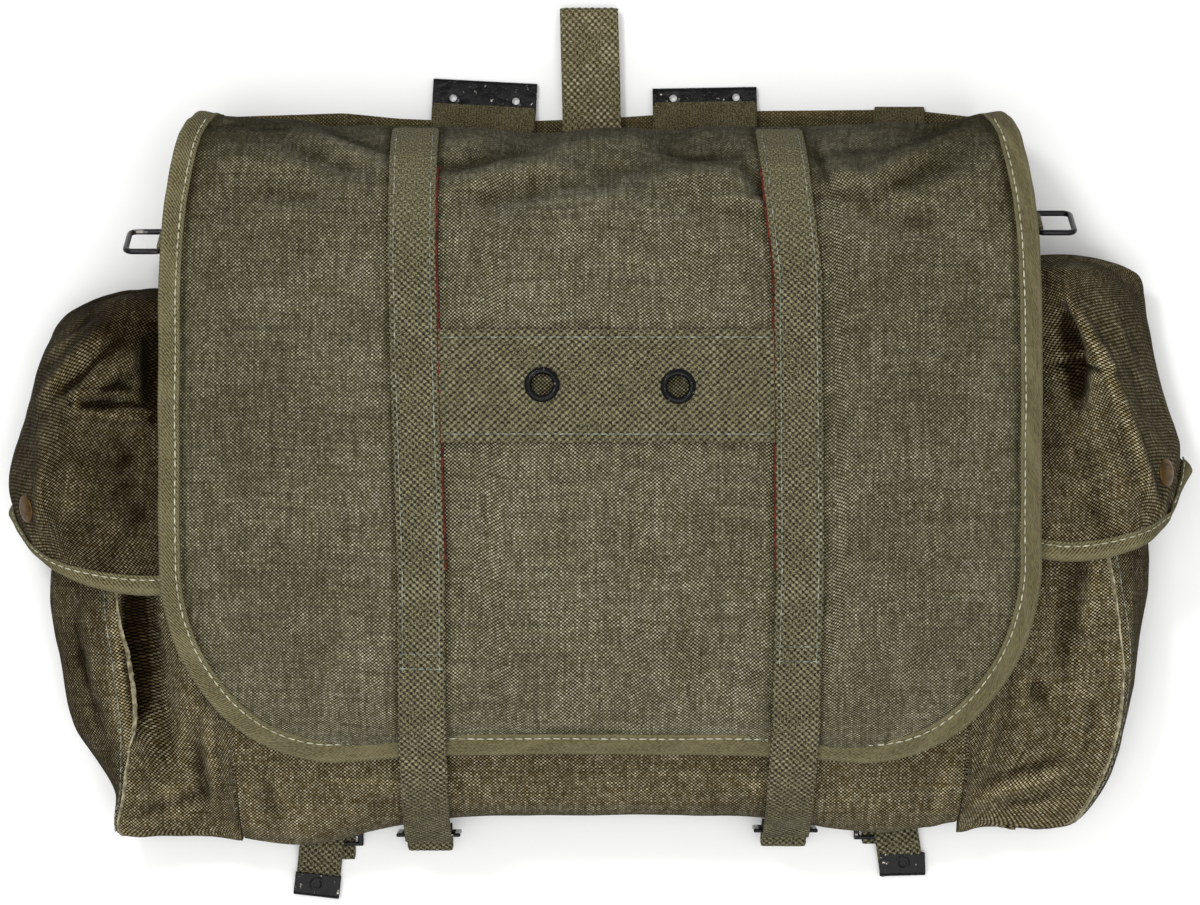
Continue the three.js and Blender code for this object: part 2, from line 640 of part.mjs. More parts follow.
// Front wall
function frontPoint(position, fraction) {
  const x = fraction * columnAt(FRONT_ROWS, "half", position);
  const seamZ = columnAt(FRONT_ROWS, "seamZ", position);
  const crownZ = columnAt(FRONT_ROWS, "crownZ", position);
  const z = THREE.MathUtils.lerp(crownZ, seamZ, Math.abs(fraction) ** CROWN_POWER);
  const below = THREE.MathUtils.smoothstep(SAG_ROWS - Math.abs(position - BASE_ROW), 0, SAG_ROWS);
  const under = position > BASE_ROW ? 1 - (position - BASE_ROW) : 1;
  const sag = BASE_SAGS.reduce((sum, { x: middle, width, drop }) => {
    return sum + drop * Math.exp(-(((x - middle) / width) ** 2));
  }, 0);
  return new THREE.Vector3(x, columnAt(FRONT_ROWS, "y", position) - below * under * sag, z);
}

const frontLast = FRONT_ROWS.length - 1;
const frontRowCount = frontLast * FRONT_STEPS;
const frontGrid = gridOf(frontRowCount, FRONT_COLUMNS, (i, j) => frontPoint(i * frontLast, 2 * j - 1));
addPiece("front_panel", wallGeometry(frontGrid, CLOTH, BAG_INSIDE), FINISHES.cloth);

// Back
const backShape = new THREE.Shape();
backShape.moveTo(BACK.half, BACK.bottom + BACK.corner);
backShape.lineTo(BACK.half, BACK_TOP[0].y - BACK.corner);
[...BACK_TOP].reverse().forEach(({ x, y }) => backShape.lineTo(x, y));
backShape.lineTo(-BACK.half, BACK_TOP[0].y - BACK.corner);
backShape.lineTo(-BACK.half, BACK.bottom + BACK.corner);
const cornerX = BACK.half - BACK.corner;
const cornerY = BACK.bottom + BACK.corner;
backShape.absarc(-cornerX, cornerY, BACK.corner, Math.PI, 1.5 * Math.PI, false);
backShape.absarc(cornerX, cornerY, BACK.corner, -Math.PI / 2, 0, false);
const backOptions = { depth: CLOTH, bevelEnabled: false, curveSegments: 5 };
addPiece("back_panel", new THREE.ExtrudeGeometry(backShape, backOptions), FINISHES.cloth);

// Side walls
function sideGrid(side) {
  return gridOf(frontRowCount, SIDE_COLUMNS, (i, j) => {
    const front = frontPoint(i * frontLast, side);
    const y = THREE.MathUtils.lerp(front.y, Math.max(front.y, BACK.bottom + SIDE.rise), j);
    const out = THREE.MathUtils.lerp(Math.abs(front.x) + SIDE.setOff, SIDE.backX, j);
    const topZ = Math.max(front.z - SIDE.drop, SIDE.backZ + SIDE.leastFall);
    const z = THREE.MathUtils.lerp(topZ, SIDE.backZ, j);
    return new THREE.Vector3(side * (out + SIDE.bulge * Math.sin(Math.PI * j)), y, z);
  });
}

// Grid through a table of sections whose points are named
function sectionGrid(rows, names, steps, side) {
  const last = rows.length - 1;
  const columnOf = (name, axis) => rows.map((row) => (axis === 1 && "y" in row ? row.y : row[name][axis]));
  const values = names.map((name) => {
    const height = "y" in rows[0] ? 1 : 2;
    return [columnOf(name, 0), columnOf(name, 1), rows.map((row) => row[name][height])];
  });
  return gridOf(last * steps.along, (names.length - 1) * steps.across, (i, j) => {
    const section = values.map((columns) => columns.map((column) => splineAt(column, i * last)));
    const [out, up, height] = [0, 1, 2].map((axis) => {
      return splineAt(section.map((point) => point[axis]), j * (names.length - 1));
    });
    return new THREE.Vector3(side * out, up, height);
  });
}

// Tape stops along a flap's hem: the inner end lies part of the way to the row above
function flapStops(flap, normals) {
  const last = flap.length - 1;
  return flap[last].map((edge, j) => {
    const above = flap[last - 1][j];
    const part = Math.min(FLAP_TAPE_REACH, FLAP_TAPE_WIDTH / edge.distanceTo(above));
    return {
      edge,
      edgeNormal: normals[last][j],
      inner: edge.clone().lerp(above, part),
      innerNormal: normals[last][j].clone().lerp(normals[last - 1][j], part).normalize(),
    };
  });
}

// Straps: on the lid down to its hem, then free over the base and through the slide
function strapX(side, y) {
  return lookUp(STRAP_LINES[side], "y", "x", y);
}

function strapGrid(side) {
  const rows = [];
  for (let i = LID_FOLD_ROW * LID_STEPS; i <= lidRowCount; i += 1) {
    const position = i / LID_STEPS;
    const middleX = strapX(side, lidPoint(position, 0).y);
    const y = lidPoint(position, middleX / lidHalf(position)).y;
    const lift = STRAP_FREE.lift * THREE.MathUtils.smoothstep(-y, -STRAP_FREE.from, -STRAP_FREE.to);
    const height = SEWN_GAP + WEBBING + lift;
    const places = [-0.5, 0, 0.5].map((part) => middleX + part * STRAP_WIDTH);
    rows.push(places.map((x) => lidOffsetPoint(position, x, height)));
  }
  const dropRows = STRAP_DROP.length - 1;
  for (let i = 0; i <= dropRows * 2; i += 1) {
    const y = columnAt(STRAP_DROP, "y", i / 2) + STRAP_PULL[side] * columnAt(STRAP_DROP, "pull", i / 2);
    const z = columnAt(STRAP_DROP, "z", i / 2);
    const middleX = strapX(side, y);
    rows.push([-0.5, 0, 0.5].map((part) => new THREE.Vector3(middleX + part * STRAP_WIDTH, y, z)));
  }
  return rows;
}

// Wide webbing between the straps, with its eyelet holes
const gearGrid = gridOf(GEAR_WEB.rows, GEAR_WEB.columns, (i, j) => {
  const y = THREE.MathUtils.lerp(GEAR_WEB.top, GEAR_WEB.bottom, i);
  const left = strapX("left", y) + STRAP_WIDTH / 2 + GAP;
  const right = strapX("right", y) - STRAP_WIDTH / 2 - GAP;
  const x = THREE.MathUtils.lerp(left, right, j);
  return lidOffsetPoint(lidPositionAt(x, y), x, SEWN_GAP + WEBBING);
});

const eyeletSeats = Object.entries(EYELETS).map(([side, { x, y }]) => {
  const position = lidPositionAt(x, y);
  const normal = lidNormal(position, x / lidHalf(position));
  return { side, point: lidOffsetPoint(position, x, SEWN_GAP + WEBBING), normal };
});
const webHoles = eyeletSeats.map(({ point, normal }) => {
  const hole = new THREE.CylinderGeometry(EYELET.webHole, EYELET.webHole, EYELET.cut, EYELET.sides);
  const turn = new THREE.Quaternion().setFromUnitVectors(new THREE.Vector3(0, 1, 0), normal);
  return hole.applyQuaternion(turn).translate(...point.toArray());
});
addPiece("gear_web", cutHoles(wallGeometry(gearGrid, WEBBING, BAG_INSIDE), webHoles), FINISHES.webbing);

const eyeletProfile = [
  [EYELET.hole, -WEBBING],
  [EYELET.barrel, -WEBBING],
  [EYELET.barrel, GAP],
  ...EYELET_ROLL.map(({ radius, height }) => [radius, GAP + height]),
  [EYELET.hole, 0],
  [EYELET.hole, -WEBBING],
].map(([radius, height]) => new THREE.Vector2(radius, height));
eyeletSeats.forEach(({ side, point, normal }) => {
  const eyelet = new THREE.LatheGeometry(eyeletProfile, EYELET.sides);
  const mesh = addPiece(`gear_eyelet_${side}`, eyelet, FINISHES.blackMetal);
  mesh.quaternion.setFromUnitVectors(new THREE.Vector3(0, 1, 0), normal);
  mesh.position.copy(point);
});

const studProfile = [
  [0, 0],
  [STUD.radius, 0],
  [STUD.radius, STUD.rim],
  [STUD_SHOULDER.radius, STUD_SHOULDER.height],
  [STUD_FLAT, STUD.dome],
  [0, STUD.dome],
].map(([radius, height]) => new THREE.Vector2(radius, height));

Object.entries(SIDES).forEach(([side, sign]) => {
  addPiece(`side_panel_${side}`, wallGeometry(sideGrid(sign), CLOTH, BAG_INSIDE), FINISHES.cloth);

  // Pocket, flap, flap binding and stud
  const pocketInside = new THREE.Vector3(sign * POCKET_INSIDE.out, POCKET_INSIDE.y, POCKET_INSIDE.z);
  const pocket = sectionGrid(POCKET_ROWS[side], POCKET_POINTS, POCKET_STEPS, sign);
  addPiece(`pocket_${side}`, wallGeometry(pocket, CLOTH, pocketInside), FINISHES.cloth);
  const flap = sectionGrid(FLAP_ROWS[side], FLAP_POINTS, FLAP_STEPS, sign);
  addPiece(`pocket_flap_${side}`, wallGeometry(flap, CLOTH, pocketInside), FINISHES.cloth);
  const flapNormals = gridNormals(flap, pocketInside).normals;
  addPiece(`pocket_binding_${side}`, bindingGeometry(flapStops(flap, flapNormals), CLOTH), FINISHES.tape);
  const stud = new THREE.LatheGeometry(studProfile, STUD.sides);
  const studMesh = addPiece(`pocket_stud_${side}`, stud, FINISHES.brass);
  const studNormal = flapNormals[STUD.row][STUD.column];
  studMesh.quaternion.setFromUnitVectors(new THREE.Vector3(0, 1, 0), studNormal);
  studMesh.position.copy(flap[STUD.row][STUD.column]).addScaledVector(studNormal, GAP);

  // Lid strap and its slide
  addPiece(`lid_strap_${side}`, wallGeometry(strapGrid(side), WEBBING, BAG_INSIDE), FINISHES.webbing);
  const slide = addPiece(`lid_buckle_${side}`, frameGeometry(SLIDE), FINISHES.blackMetal);
  slide.rotation.x = Math.PI / 2;
  slide.position.set(strapX(side, SLIDE_PLACE.y), SLIDE_PLACE.y + STRAP_PULL[side], SLIDE_PLACE.z);

  addRing(side, sign);
  addHook(side);
  addBaseEnd(side);
});

// Wire ring, bent from one length with its ends meeting in the keeper, and the webbing keeper
function addRing(side, sign) {
  const { y, z } = RING_PLACES[side];
  const lean = THREE.MathUtils.degToRad(RING.lean);
  const frame = new THREE.Group();
  frame.position.set(sign * RING.out, y, z);
  frame.rotation.x = lean;
  rucksack.add(frame);

  const half = RING.bar / 2;
  const bend = RING.corner;
  const path = new THREE.CurvePath();
  const place = (out, up) => new THREE.Vector3(sign * out, 0, up);
  const line = (from, to) => path.add(new THREE.LineCurve3(place(...from), place(...to)));
  const turn = (from, corner, to) => {
    path.add(new THREE.QuadraticBezierCurve3(place(...from), place(...corner), place(...to)));
  };
  line([0, RING.split], [0, half - bend]);
  turn([0, half - bend], [0, half], [bend, half]);
  line([bend, half], [RING.depth - bend, half]);
  turn([RING.depth - bend, half], [RING.depth, half], [RING.depth, half - bend]);
  line([RING.depth, half - bend], [RING.depth, bend - half]);
  turn([RING.depth, bend - half], [RING.depth, -half], [RING.depth - bend, -half]);
  line([RING.depth - bend, -half], [bend, -half]);
  turn([bend, -half], [0, -half], [0, bend - half]);
  line([0, bend - half], [0, -RING.split]);
  const section = new THREE.Shape();
  for (let k = 0; k < RING_STEPS.around; k += 1) {
    const angle = (2 * Math.PI * k) / RING_STEPS.around;
    const corner = [RING.wire * Math.cos(angle), RING.wire * Math.sin(angle)];
    if (k === 0) {
      section.moveTo(...corner);
    } else {
      section.lineTo(...corner);
    }
  }
  const options = { steps: RING_STEPS.along, extrudePath: path, bevelEnabled: false };
  const ring = new THREE.ExtrudeGeometry(section, options);
  frame.add(addPiece(`side_ring_${side}`, ring, FINISHES.wire));

  const grip = RING.wire + GAP + KEEPER.thick;
  const tailOut = KEEPER.thick - KEEPER.foot;
  const upperRoute = [
    [tailOut, KEEPER.tail],
    [tailOut, KEEPER.bend],
    [KEEPER_NECK.out, grip + KEEPER_NECK.flare],
    [KEEPER_NECK.start, grip],
    [grip * KEEPER_NECK.round, grip * KEEPER_NECK.round],
  ];
  const lowerRoute = upperRoute.map(([out, up]) => [out, -up]).reverse();
  const stops = [...upperRoute, [grip, 0], ...lowerRoute];
  const route = new THREE.CatmullRomCurve3(stops.map(([out, up]) => new THREE.Vector3(sign * out, up, 0)));
  const width = new THREE.Vector3(0, 0, 1);
  const hollow = new THREE.Vector3(-sign * KEEPER.hollow, 0, 0);
  const keeper = stripGeometry(route.getPoints(KEEPER.steps), width, KEEPER.width, KEEPER.thick, hollow);
  frame.add(addPiece(`ring_keeper_${side}`, keeper, FINISHES.webbing));
}

// Haul loop: webbing doubled over, both ends caught at the root of the lid
const haulRadius = (HAUL.pitch + WEBBING) / 2;
const haulHigh = HAUL.low + 2 * haulRadius;
const haulRoute = [[HAUL.root, HAUL.low], [HAUL_STOPS.under, HAUL.low], [HAUL_STOPS.bend, HAUL.low]];
for (let k = 0; k <= HAUL.turns; k += 1) {
  const angle = -Math.PI / 2 + (Math.PI * k) / HAUL.turns;
  const y = HAUL.tip - haulRadius + haulRadius * Math.cos(angle);
  haulRoute.push([y, HAUL.low + haulRadius + haulRadius * Math.sin(angle)]);
}
haulRoute.push([HAUL_STOPS.over, haulHigh], [HAUL_STOPS.overRoot, haulHigh]);
const haulPath = haulRoute.map(([y, z]) => new THREE.Vector3(HAUL.x, y, z));
const haulInside = new THREE.Vector3(HAUL.x, HAUL_STOPS.over, HAUL.low + haulRadius);
const haulWidth = new THREE.Vector3(1, 0, 0);
addPiece("haul_loop", stripGeometry(haulPath, haulWidth, HAUL.width, WEBBING, haulInside), FINISHES.webbing);

// Hook web on its folded plate, at the top edge of the back
function addHook(side) {
  const { x, webTop, plateTop, holeY, turn } = HOOKS[side];
  const pivot = new THREE.Group();
  pivot.position.set(x, HOOK_WEB.root + HOOK_WEB.pivot, 0);
  pivot.rotation.z = THREE.MathUtils.degToRad(turn);
  rucksack.add(pivot);
  const webLength = webTop - HOOK_WEB.root;
  const web = new THREE.BoxGeometry(HOOK_WEB.width, webLength, WEBBING, 4, 2, 1);
  web.translate(0, webLength / 2 - HOOK_WEB.tuck, HOOK_WEB.z + WEBBING / 2);
  pivot.add(addPiece(`hook_web_${side}`, web, FINISHES.webbing));
  const plate = foldedPlate(
    HOOK_PLATE.width, PLATE, HOOK_PLATE.slot, plateTop - HOOK_PLATE.root, plateTop - HOOK_PLATE.backRoot,
  );
  plate.translate(0, plateTop - pivot.position.y, HOOK_PLATE.foot);
  const { radius, spread, sides, cut } = HOOK_HOLE;
  const holes = [-1, 1].map((end) => {
    const hole = new THREE.CylinderGeometry(radius, radius, cut, sides).rotateX(Math.PI / 2);
    return hole.translate(end * spread, holeY - pivot.position.y, 0);
  });
  pivot.add(addPiece(`top_hook_${side}`, cutHoles(plate, holes), FINISHES.blackMetal));
}

const tapeEndTall = TAPE_END.top - TAPE_END.bottom;
const tapeEnd = new THREE.BoxGeometry(TAPE_END.width, tapeEndTall, TAPE_END.thick);
tapeEnd.translate(TAPE_END.x, TAPE_END.bottom + tapeEndTall / 2, TAPE_END.z + TAPE_END.thick / 2);
addPiece("tape_end", tapeEnd, FINISHES.tape);

// Strap end at the base: tab on the ground, slide on the tab, strap over the slide, tip on the strap
function addBaseEnd(side) {
  const { tabX, startX, endX, slideY, reach, end } = BASE_ENDS[side];
  const tabEnd = slideY - reach;
  const tab = new THREE.BoxGeometry(BASE_STRAP.width, BASE_TAB.root - tabEnd, BASE_TAB.thick, 1, 4, 1);
  tab.translate(tabX, (BASE_TAB.root + tabEnd) / 2, BASE_TAB.z + BASE_TAB.thick / 2);
  addPiece(`base_tab_${side}`, tab, FINISHES.webbing);

  const slide = addPiece(`base_buckle_${side}`, frameGeometry(BASE_SLIDE), FINISHES.blackMetal);
  const slideZ = BASE_TAB.z + BASE_TAB.thick + GAP + BASE_SLIDE.deep / 2;
  slide.position.set(tabX, slideY, slideZ);

  const over = slideZ + BASE_SLIDE.deep / 2 + GAP + BASE_STRAP.thick;
  const tipTop = BASE_TIP.plate + (BASE_TIP.slot + BASE_STRAP.thick) / 2 + BASE_TIP.foot;
  const tipStart = end + BASE_TIP.length;
  const route = [
    { y: BASE_STRAP.start, z: over },
    { y: slideY, z: over },
    { y: slideY - BASE_SLIDE.tall / 2, z: over },
    { y: tipStart + BASE_TIP.ease, z: tipTop },
    { y: tipStart - BASE_TIP.ease, z: tipTop },
    { y: end + BASE_TIP.bite, z: tipTop },
  ];
  const path = route.map(({ y, z }) => {
    const x = THREE.MathUtils.mapLinear(y, BASE_STRAP.start, end, startX, endX);
    return new THREE.Vector3(x, y, z);
  });
  const width = new THREE.Vector3(1, 0, 0);
  const strap = stripGeometry(path, width, BASE_STRAP.width, BASE_STRAP.thick, UNDERGROUND);
  addPiece(`base_strap_${side}`, strap, FINISHES.webbing);

  const { plate, slot, length, wider, foot } = BASE_TIP;
  const tip = foldedPlate(BASE_STRAP.width + wider, plate, slot, length, length);
  const tipMesh = addPiece(`base_tip_${side}`, tip, FINISHES.blackMetal);
  tipMesh.rotation.z = Math.PI;
  tipMesh.position.set(endX, end, foot);
}

export default rucksack;
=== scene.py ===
import math

import bmesh
import bpy
import numpy as np
from mathutils import Matrix, Vector, noise


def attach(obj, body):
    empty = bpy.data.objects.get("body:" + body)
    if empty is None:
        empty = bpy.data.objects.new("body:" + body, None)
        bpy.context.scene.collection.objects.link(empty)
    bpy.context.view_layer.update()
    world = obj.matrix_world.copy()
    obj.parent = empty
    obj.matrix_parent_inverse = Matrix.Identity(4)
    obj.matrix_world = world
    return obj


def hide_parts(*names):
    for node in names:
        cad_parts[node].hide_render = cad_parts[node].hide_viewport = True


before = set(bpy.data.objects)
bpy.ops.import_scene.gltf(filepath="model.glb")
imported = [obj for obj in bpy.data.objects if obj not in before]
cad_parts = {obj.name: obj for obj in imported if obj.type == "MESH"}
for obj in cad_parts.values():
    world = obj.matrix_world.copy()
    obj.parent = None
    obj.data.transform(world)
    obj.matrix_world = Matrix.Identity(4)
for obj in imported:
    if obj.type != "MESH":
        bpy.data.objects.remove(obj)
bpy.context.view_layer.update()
mm = 0.001
sides = {"left": -1, "right": 1}
straightUp = [0, 0, 1.0]
bagMiddle = np.array([0, -20, 45]) * mm  # cloth faces away from here
print("frame loaded:", len(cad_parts), "CAD nodes")


def hexColour(text):
    # sRGB hex to the linear colour that shaders work in
    parts = [int(text[i:i + 2], 16) / 255 for i in (1, 3, 5)]
    return [c / 12.92 if c <= 0.04045 else ((c + 0.055) / 1.055) ** 2.4 for c in parts] + [1]


def addNode(tree, kind, inputs={}, output=0, **settings):
    # adds a node, sets or links its inputs and gives back one of its outputs
    node = tree.nodes.new(kind)
    for name, value in settings.items():
        setattr(node, name, value)
    for key, value in inputs.items():
        if isinstance(value, bpy.types.NodeSocket):
            tree.links.new(value, node.inputs[key])
        else:
            node.inputs[key].default_value = value
    return node.outputs[output] if len(node.outputs) else node


def mixColours(tree, share, first, second, blend="MIX"):
    inputs = {0: share, 6: first, 7: second}
    return addNode(tree, "ShaderNodeMix", inputs, 2, data_type="RGBA", blend_type=blend)


def mapRange(tree, value, low, high, start=0.0, stop=1.0):
    return addNode(tree, "ShaderNodeMapRange", {0: value, 1: low, 2: high, 3: start, 4: stop})


def calculate(tree, operation, *values, clamp=False):
    return addNode(tree, "ShaderNodeMath", dict(enumerate(values)), operation=operation, use_clamp=clamp)


def vectorMath(tree, operation, *values):
    return addNode(tree, "ShaderNodeVectorMath", dict(enumerate(values)), operation=operation)


def noiseNode(tree, place, size, detail=2.0, roughness=0.5, output=0):
    inputs = {"Vector": place, "Scale": 1 / size, "Detail": detail, "Roughness": roughness}
    return addNode(tree, "ShaderNodeTexNoise", inputs, output)


def whiteNoise(tree, place):
    return addNode(tree, "ShaderNodeTexWhiteNoise", {"Vector": place})


def bumpNode(tree, strength, distance, height):
    return addNode(tree, "ShaderNodeBump", {"Strength": strength, "Distance": distance, "Height": height})


def attribute(tree, name):
    return addNode(tree, "ShaderNodeAttribute", output="Fac", attribute_name=name)


def newMaterial(name):
    material = bpy.data.materials.new(name)
    material.use_nodes = True
    material.node_tree.nodes.clear()
    return material, material.node_tree


def finishSurface(tree, inputs):
    shader = addNode(tree, "ShaderNodeBsdfPrincipled", inputs)
    addNode(tree, "ShaderNodeOutputMaterial", {"Surface": shader})


def finishCotton(tree, colour, rough, bump, scale):
    finishSurface(tree, {
        "Base Color": colour, "Roughness": rough, "Normal": bump, "IOR": 1.45,
        "Specular IOR Level": scale["gloss"], "Sheen Weight": scale["sheen"], "Sheen Roughness": 0.6})


# Cotton duck: plain weave of two tones of spun thread, matt, heathered, paler on ridges as rubbed wear and
# painted highlight.
# Threads are about 1 mm apart, a little closer up the cloth than across it.
# Fade, worn ridges and grime are multiplied in, so the weave keeps its grain; the grime mask also carries
# painted shade, and gaps, hollows and steep cloth are darkened as painted shade.
duckLooks = {
    "faded cotton duck": {
        "warp": ("#736f57", "#b7b3a0"), "weft": ("#1e1b09", "#433e26"), "steep": (0.97, 0.74),
        "fade": (1.35, 1.38, 1.44, 1), "worn": (1.33, 1.34, 1.34, 1), "grimeAndShade": (0.3, 0.28, 0.21, 1),
    },
    "brown cotton duck": {
        "warp": ("#726541", "#ccc4aa"), "weft": ("#120d03", "#392e12"), "steep": (0.72, 0.2),
        "fade": (1.32, 1.34, 1.37, 1), "worn": (1.48, 1.49, 1.48, 1), "grimeAndShade": (0.11, 0.085, 0.05, 1),
    },
    "tight cotton duck": {  # its two tones differ less
        "warp": ("#5f5841", "#857d62"), "weft": ("#332e1f", "#4d4632"), "steep": (0.7, 0.1),
        "fade": (1.3, 1.29, 1.27, 1), "worn": (1.4, 1.38, 1.33, 1), "grimeAndShade": (0.3, 0.28, 0.22, 1),
    },
}
duckScale = {
    "thread": (1.06 * mm, 0.94 * mm), "wander": 28 * mm, "sway": 1.6 * mm, "lift": 1.8 * mm,
    "streak": 0.3, "slub": 0.035, "slubTone": (0.78, 1.22), "yarnShare": 0.55, "heather": 1.5,
    "gap": (0.42, 0.38, 0.28, 1), "gapWidth": 0.12, "even": (0.6, 0.6, 0.6, 1), "matting": 0.75,
    "slubLong": 1 / 0.6, "slubLimit": (0.3, 0.7), "fuzz": 1 / 2.2, "fuzzShare": 0.12,  # lengths in threads
    # rubbed: ridges paler, as rubbed wear and painted highlight; sunkBelow and hollowShade: hollows darkened,
    # painted shade
    "mottle": 60 * mm, "patch": 15 * mm, "patchShare": 0.22, "faded": (0.46, 0.78), "rubbed": (0.56, 1.0),
    "sunkBelow": 0.45, "hollowShade": 0.5, "bump": 0.8, "rough": (0.84, 0.98), "gloss": 0.04, "sheen": 0.01,
}


def makeDuck(name, look):
    material, tree = newMaterial(name)
    cut = addNode(tree, "ShaderNodeUVMap", uv_map="cut")
    sway = noiseNode(tree, cut, duckScale["wander"], output="Color")
    swayed = vectorMath(tree, "MULTIPLY_ADD", sway, [duckScale["sway"]] * 2 + [0], cut)
    threads = vectorMath(tree, "MULTIPLY", swayed, [1 / pitch for pitch in duckScale["thread"]] + [1])
    x, y = addNode(tree, "ShaderNodeSeparateXYZ", {0: threads}).node.outputs[:2]
    overX, overY = (calculate(tree, "PINGPONG", axis, 0.5) for axis in (x, y))
    pillow = calculate(tree, "MULTIPLY", overX, overY)
    warpUp = addNode(tree, "ShaderNodeTexChecker", {"Vector": threads, "Scale": 1.0}, "Fac")
    speck = whiteNoise(tree, vectorMath(tree, "FLOOR", threads))
    streak, slub = duckScale["streak"], duckScale["slub"]
    tones = []
    for colours, stretch in ((look["warp"], (1, streak, 1)), (look["weft"], (streak, 1, 1))):
        drawn = vectorMath(tree, "MULTIPLY", threads, stretch)
        length = whiteNoise(tree, vectorMath(tree, "FLOOR", drawn))
        mixed = calculate(tree, "MULTIPLY", speck, 1 - duckScale["yarnShare"])
        mixed = calculate(tree, "MULTIPLY_ADD", length, duckScale["yarnShare"], mixed)
        mixed = calculate(tree, "POWER", mixed, duckScale["heather"])
        tones.append(mixColours(tree, mixed, hexColour(colours[0]), hexColour(colours[1])))
    warp, weft = tones
    woven = mixColours(tree, warpUp, weft, warp)
    # the gaps between threads are darkened: painted shade
    closed = mapRange(tree, pillow, 0.0, duckScale["gapWidth"])
    gap = mixColours(tree, closed, duckScale["gap"], (1, 1, 1, 1))
    gapShaded = mixColours(tree, 1.0, woven, gap, "MULTIPLY")
    # steep cloth takes an even tone darker than the flat weave: the fuzz hides the gaps, and the darkening is
    # painted shade on the slopes
    even = mixColours(tree, 0.5, weft, warp)
    even = mixColours(tree, 1.0, even, duckScale["even"], "MULTIPLY")
    normal = addNode(tree, "ShaderNodeNewGeometry", output="Normal")
    upright = addNode(tree, "ShaderNodeSeparateXYZ", {0: normal}).node.outputs[2]
    matted = mapRange(tree, upright, *look["steep"], 0.0, duckScale["matting"])
    colour = mixColours(tree, matted, gapShaded, even)  # fuzz closes the gaps on steep cloth

    place = addNode(tree, "ShaderNodeTexCoord", output="Object")
    mottle = noiseNode(tree, place, duckScale["mottle"], 5.0, 0.62)
    patches = noiseNode(tree, place, duckScale["patch"], 3.0)
    blotch = calculate(tree, "MULTIPLY_ADD", patches, duckScale["patchShare"], mottle)
    colour = mixColours(tree, mapRange(tree, blotch, *duckScale["faded"]), colour, look["fade"], "MULTIPLY")
    for stretch in ((1, slub, 1), (slub, 1, 1)):  # thick and thin lengths of yarn, both ways
        drawn = vectorMath(tree, "MULTIPLY", threads, stretch)
        thickness = noiseNode(tree, drawn, duckScale["slubLong"])
        tone = mapRange(tree, thickness, *duckScale["slubLimit"], *duckScale["slubTone"])
        colour = mixColours(tree, 1.0, colour, tone, "MULTIPLY")
    # ridges paler as rubbed wear and painted highlight; hollows darkened as painted shade; the soil attribute
    # holds grime and painted shade
    crest, soilAndShade = attribute(tree, "crest"), attribute(tree, "soilAndShade")
    colour = mixColours(tree, mapRange(tree, crest, *duckScale["rubbed"]), colour, look["worn"], "MULTIPLY")
    sunk = mapRange(tree, crest, duckScale["sunkBelow"], 0.0, 0.0, duckScale["hollowShade"])
    dirtAndShade = calculate(tree, "ADD", soilAndShade, sunk, clamp=True)
    colour = mixColours(tree, dirtAndShade, colour, look["grimeAndShade"], "MULTIPLY")

    fuzz = noiseNode(tree, threads, duckScale["fuzz"], 3.0)
    height = calculate(tree, "MULTIPLY_ADD", fuzz, duckScale["fuzzShare"], pillow)
    bump = bumpNode(tree, duckScale["bump"], duckScale["lift"], height)
    rough = mapRange(tree, mottle, 0.0, 1.0, *duckScale["rough"])
    finishCotton(tree, colour, rough, bump, duckScale)
    return material


# Cotton webbing: thick warp yarns in brick order, with painted shade in the gaps and rubbed yarn tops; fibres
# matt
webLooks = {
    "olive webbing": {"gap": "#0c0b05", "yarn": "#37331f", "pale": "#8a8466", "rubbed": "#bdb79a",
                      "rubShare": 0.5},
    # a darker copy of the olive webbing: painted shade for the strips at the top edge beside the lid
    "shaded ribbed webbing": {"gap": "#100e06", "yarn": "#2f2a19", "pale": "#665f45", "rubbed": "#8d8568",
                            "rubShare": 0.4},
    "worn haul webbing": {"gap": "#2b2614", "yarn": "#4d452c", "pale": "#8f8868", "rubbed": "#cbc5a9",
                          "rubShare": 0.85},
}
webScale = {
    "fibre": 0.8 * mm, "tone": (0.4, 0.62), "gapAt": (0.56, 0.16), "topAt": (0.5, 0.95),
    "patch": 17 * mm, "rubAt": (0.42, 0.68), "bump": 0.5, "lift": 0.3 * mm, "rough": (0.95, 0.78),
    "gloss": 0.15, "sheen": 0.03,
}


def makeWebbing(name, look):
    material, tree = newMaterial(name)
    cut = addNode(tree, "ShaderNodeUVMap", uv_map="cut")
    relief = attribute(tree, "relief")
    fibre = noiseNode(tree, cut, webScale["fibre"], 3.0)
    patch = noiseNode(tree, cut, webScale["patch"], 4.0)
    toneBy = mapRange(tree, fibre, *webScale["tone"])
    yarn = mixColours(tree, toneBy, hexColour(look["yarn"]), hexColour(look["pale"]))
    # the gaps between yarns are darkened: painted shade on top of the real relief
    deep = mapRange(tree, relief, *webScale["gapAt"])
    gapShaded = mixColours(tree, deep, yarn, hexColour(look["gap"]))
    top = mapRange(tree, relief, *webScale["topAt"], 0.0, look["rubShare"])
    rub = calculate(tree, "MULTIPLY", top, mapRange(tree, patch, *webScale["rubAt"]))
    colour = mixColours(tree, rub, gapShaded, hexColour(look["rubbed"]))
    bump = bumpNode(tree, webScale["bump"], webScale["lift"], fibre)
    rough = mapRange(tree, patch, 0.0, 1.0, *webScale["rough"])
    finishCotton(tree, colour, rough, bump, webScale)
    return material


# Cotton twill tape: fine slanting ribs, paler and smoother than the duck.
# The 0.8 mm ribs are drawn at 2.1 mm.
tapeLook = {
    "dark": "#241f10", "pale": "#7d7655", "rubbed": "#8b8465", "rib": 2.1 * mm, "fibre": 1.1 * mm,
    "ribTone": 0.5, "tone": (0.52, 1.0), "edgeRub": 0.35, "edgeAt": (0.55, 1.0),
    "patch": 22 * mm, "patchRub": 0.3, "patchAt": (0.45, 0.75), "fibreLift": 0.6, "bump": 0.45,
    "lift": 0.25 * mm, "rough": (0.92, 0.8), "gloss": 0.15, "sheen": 0.03,
}


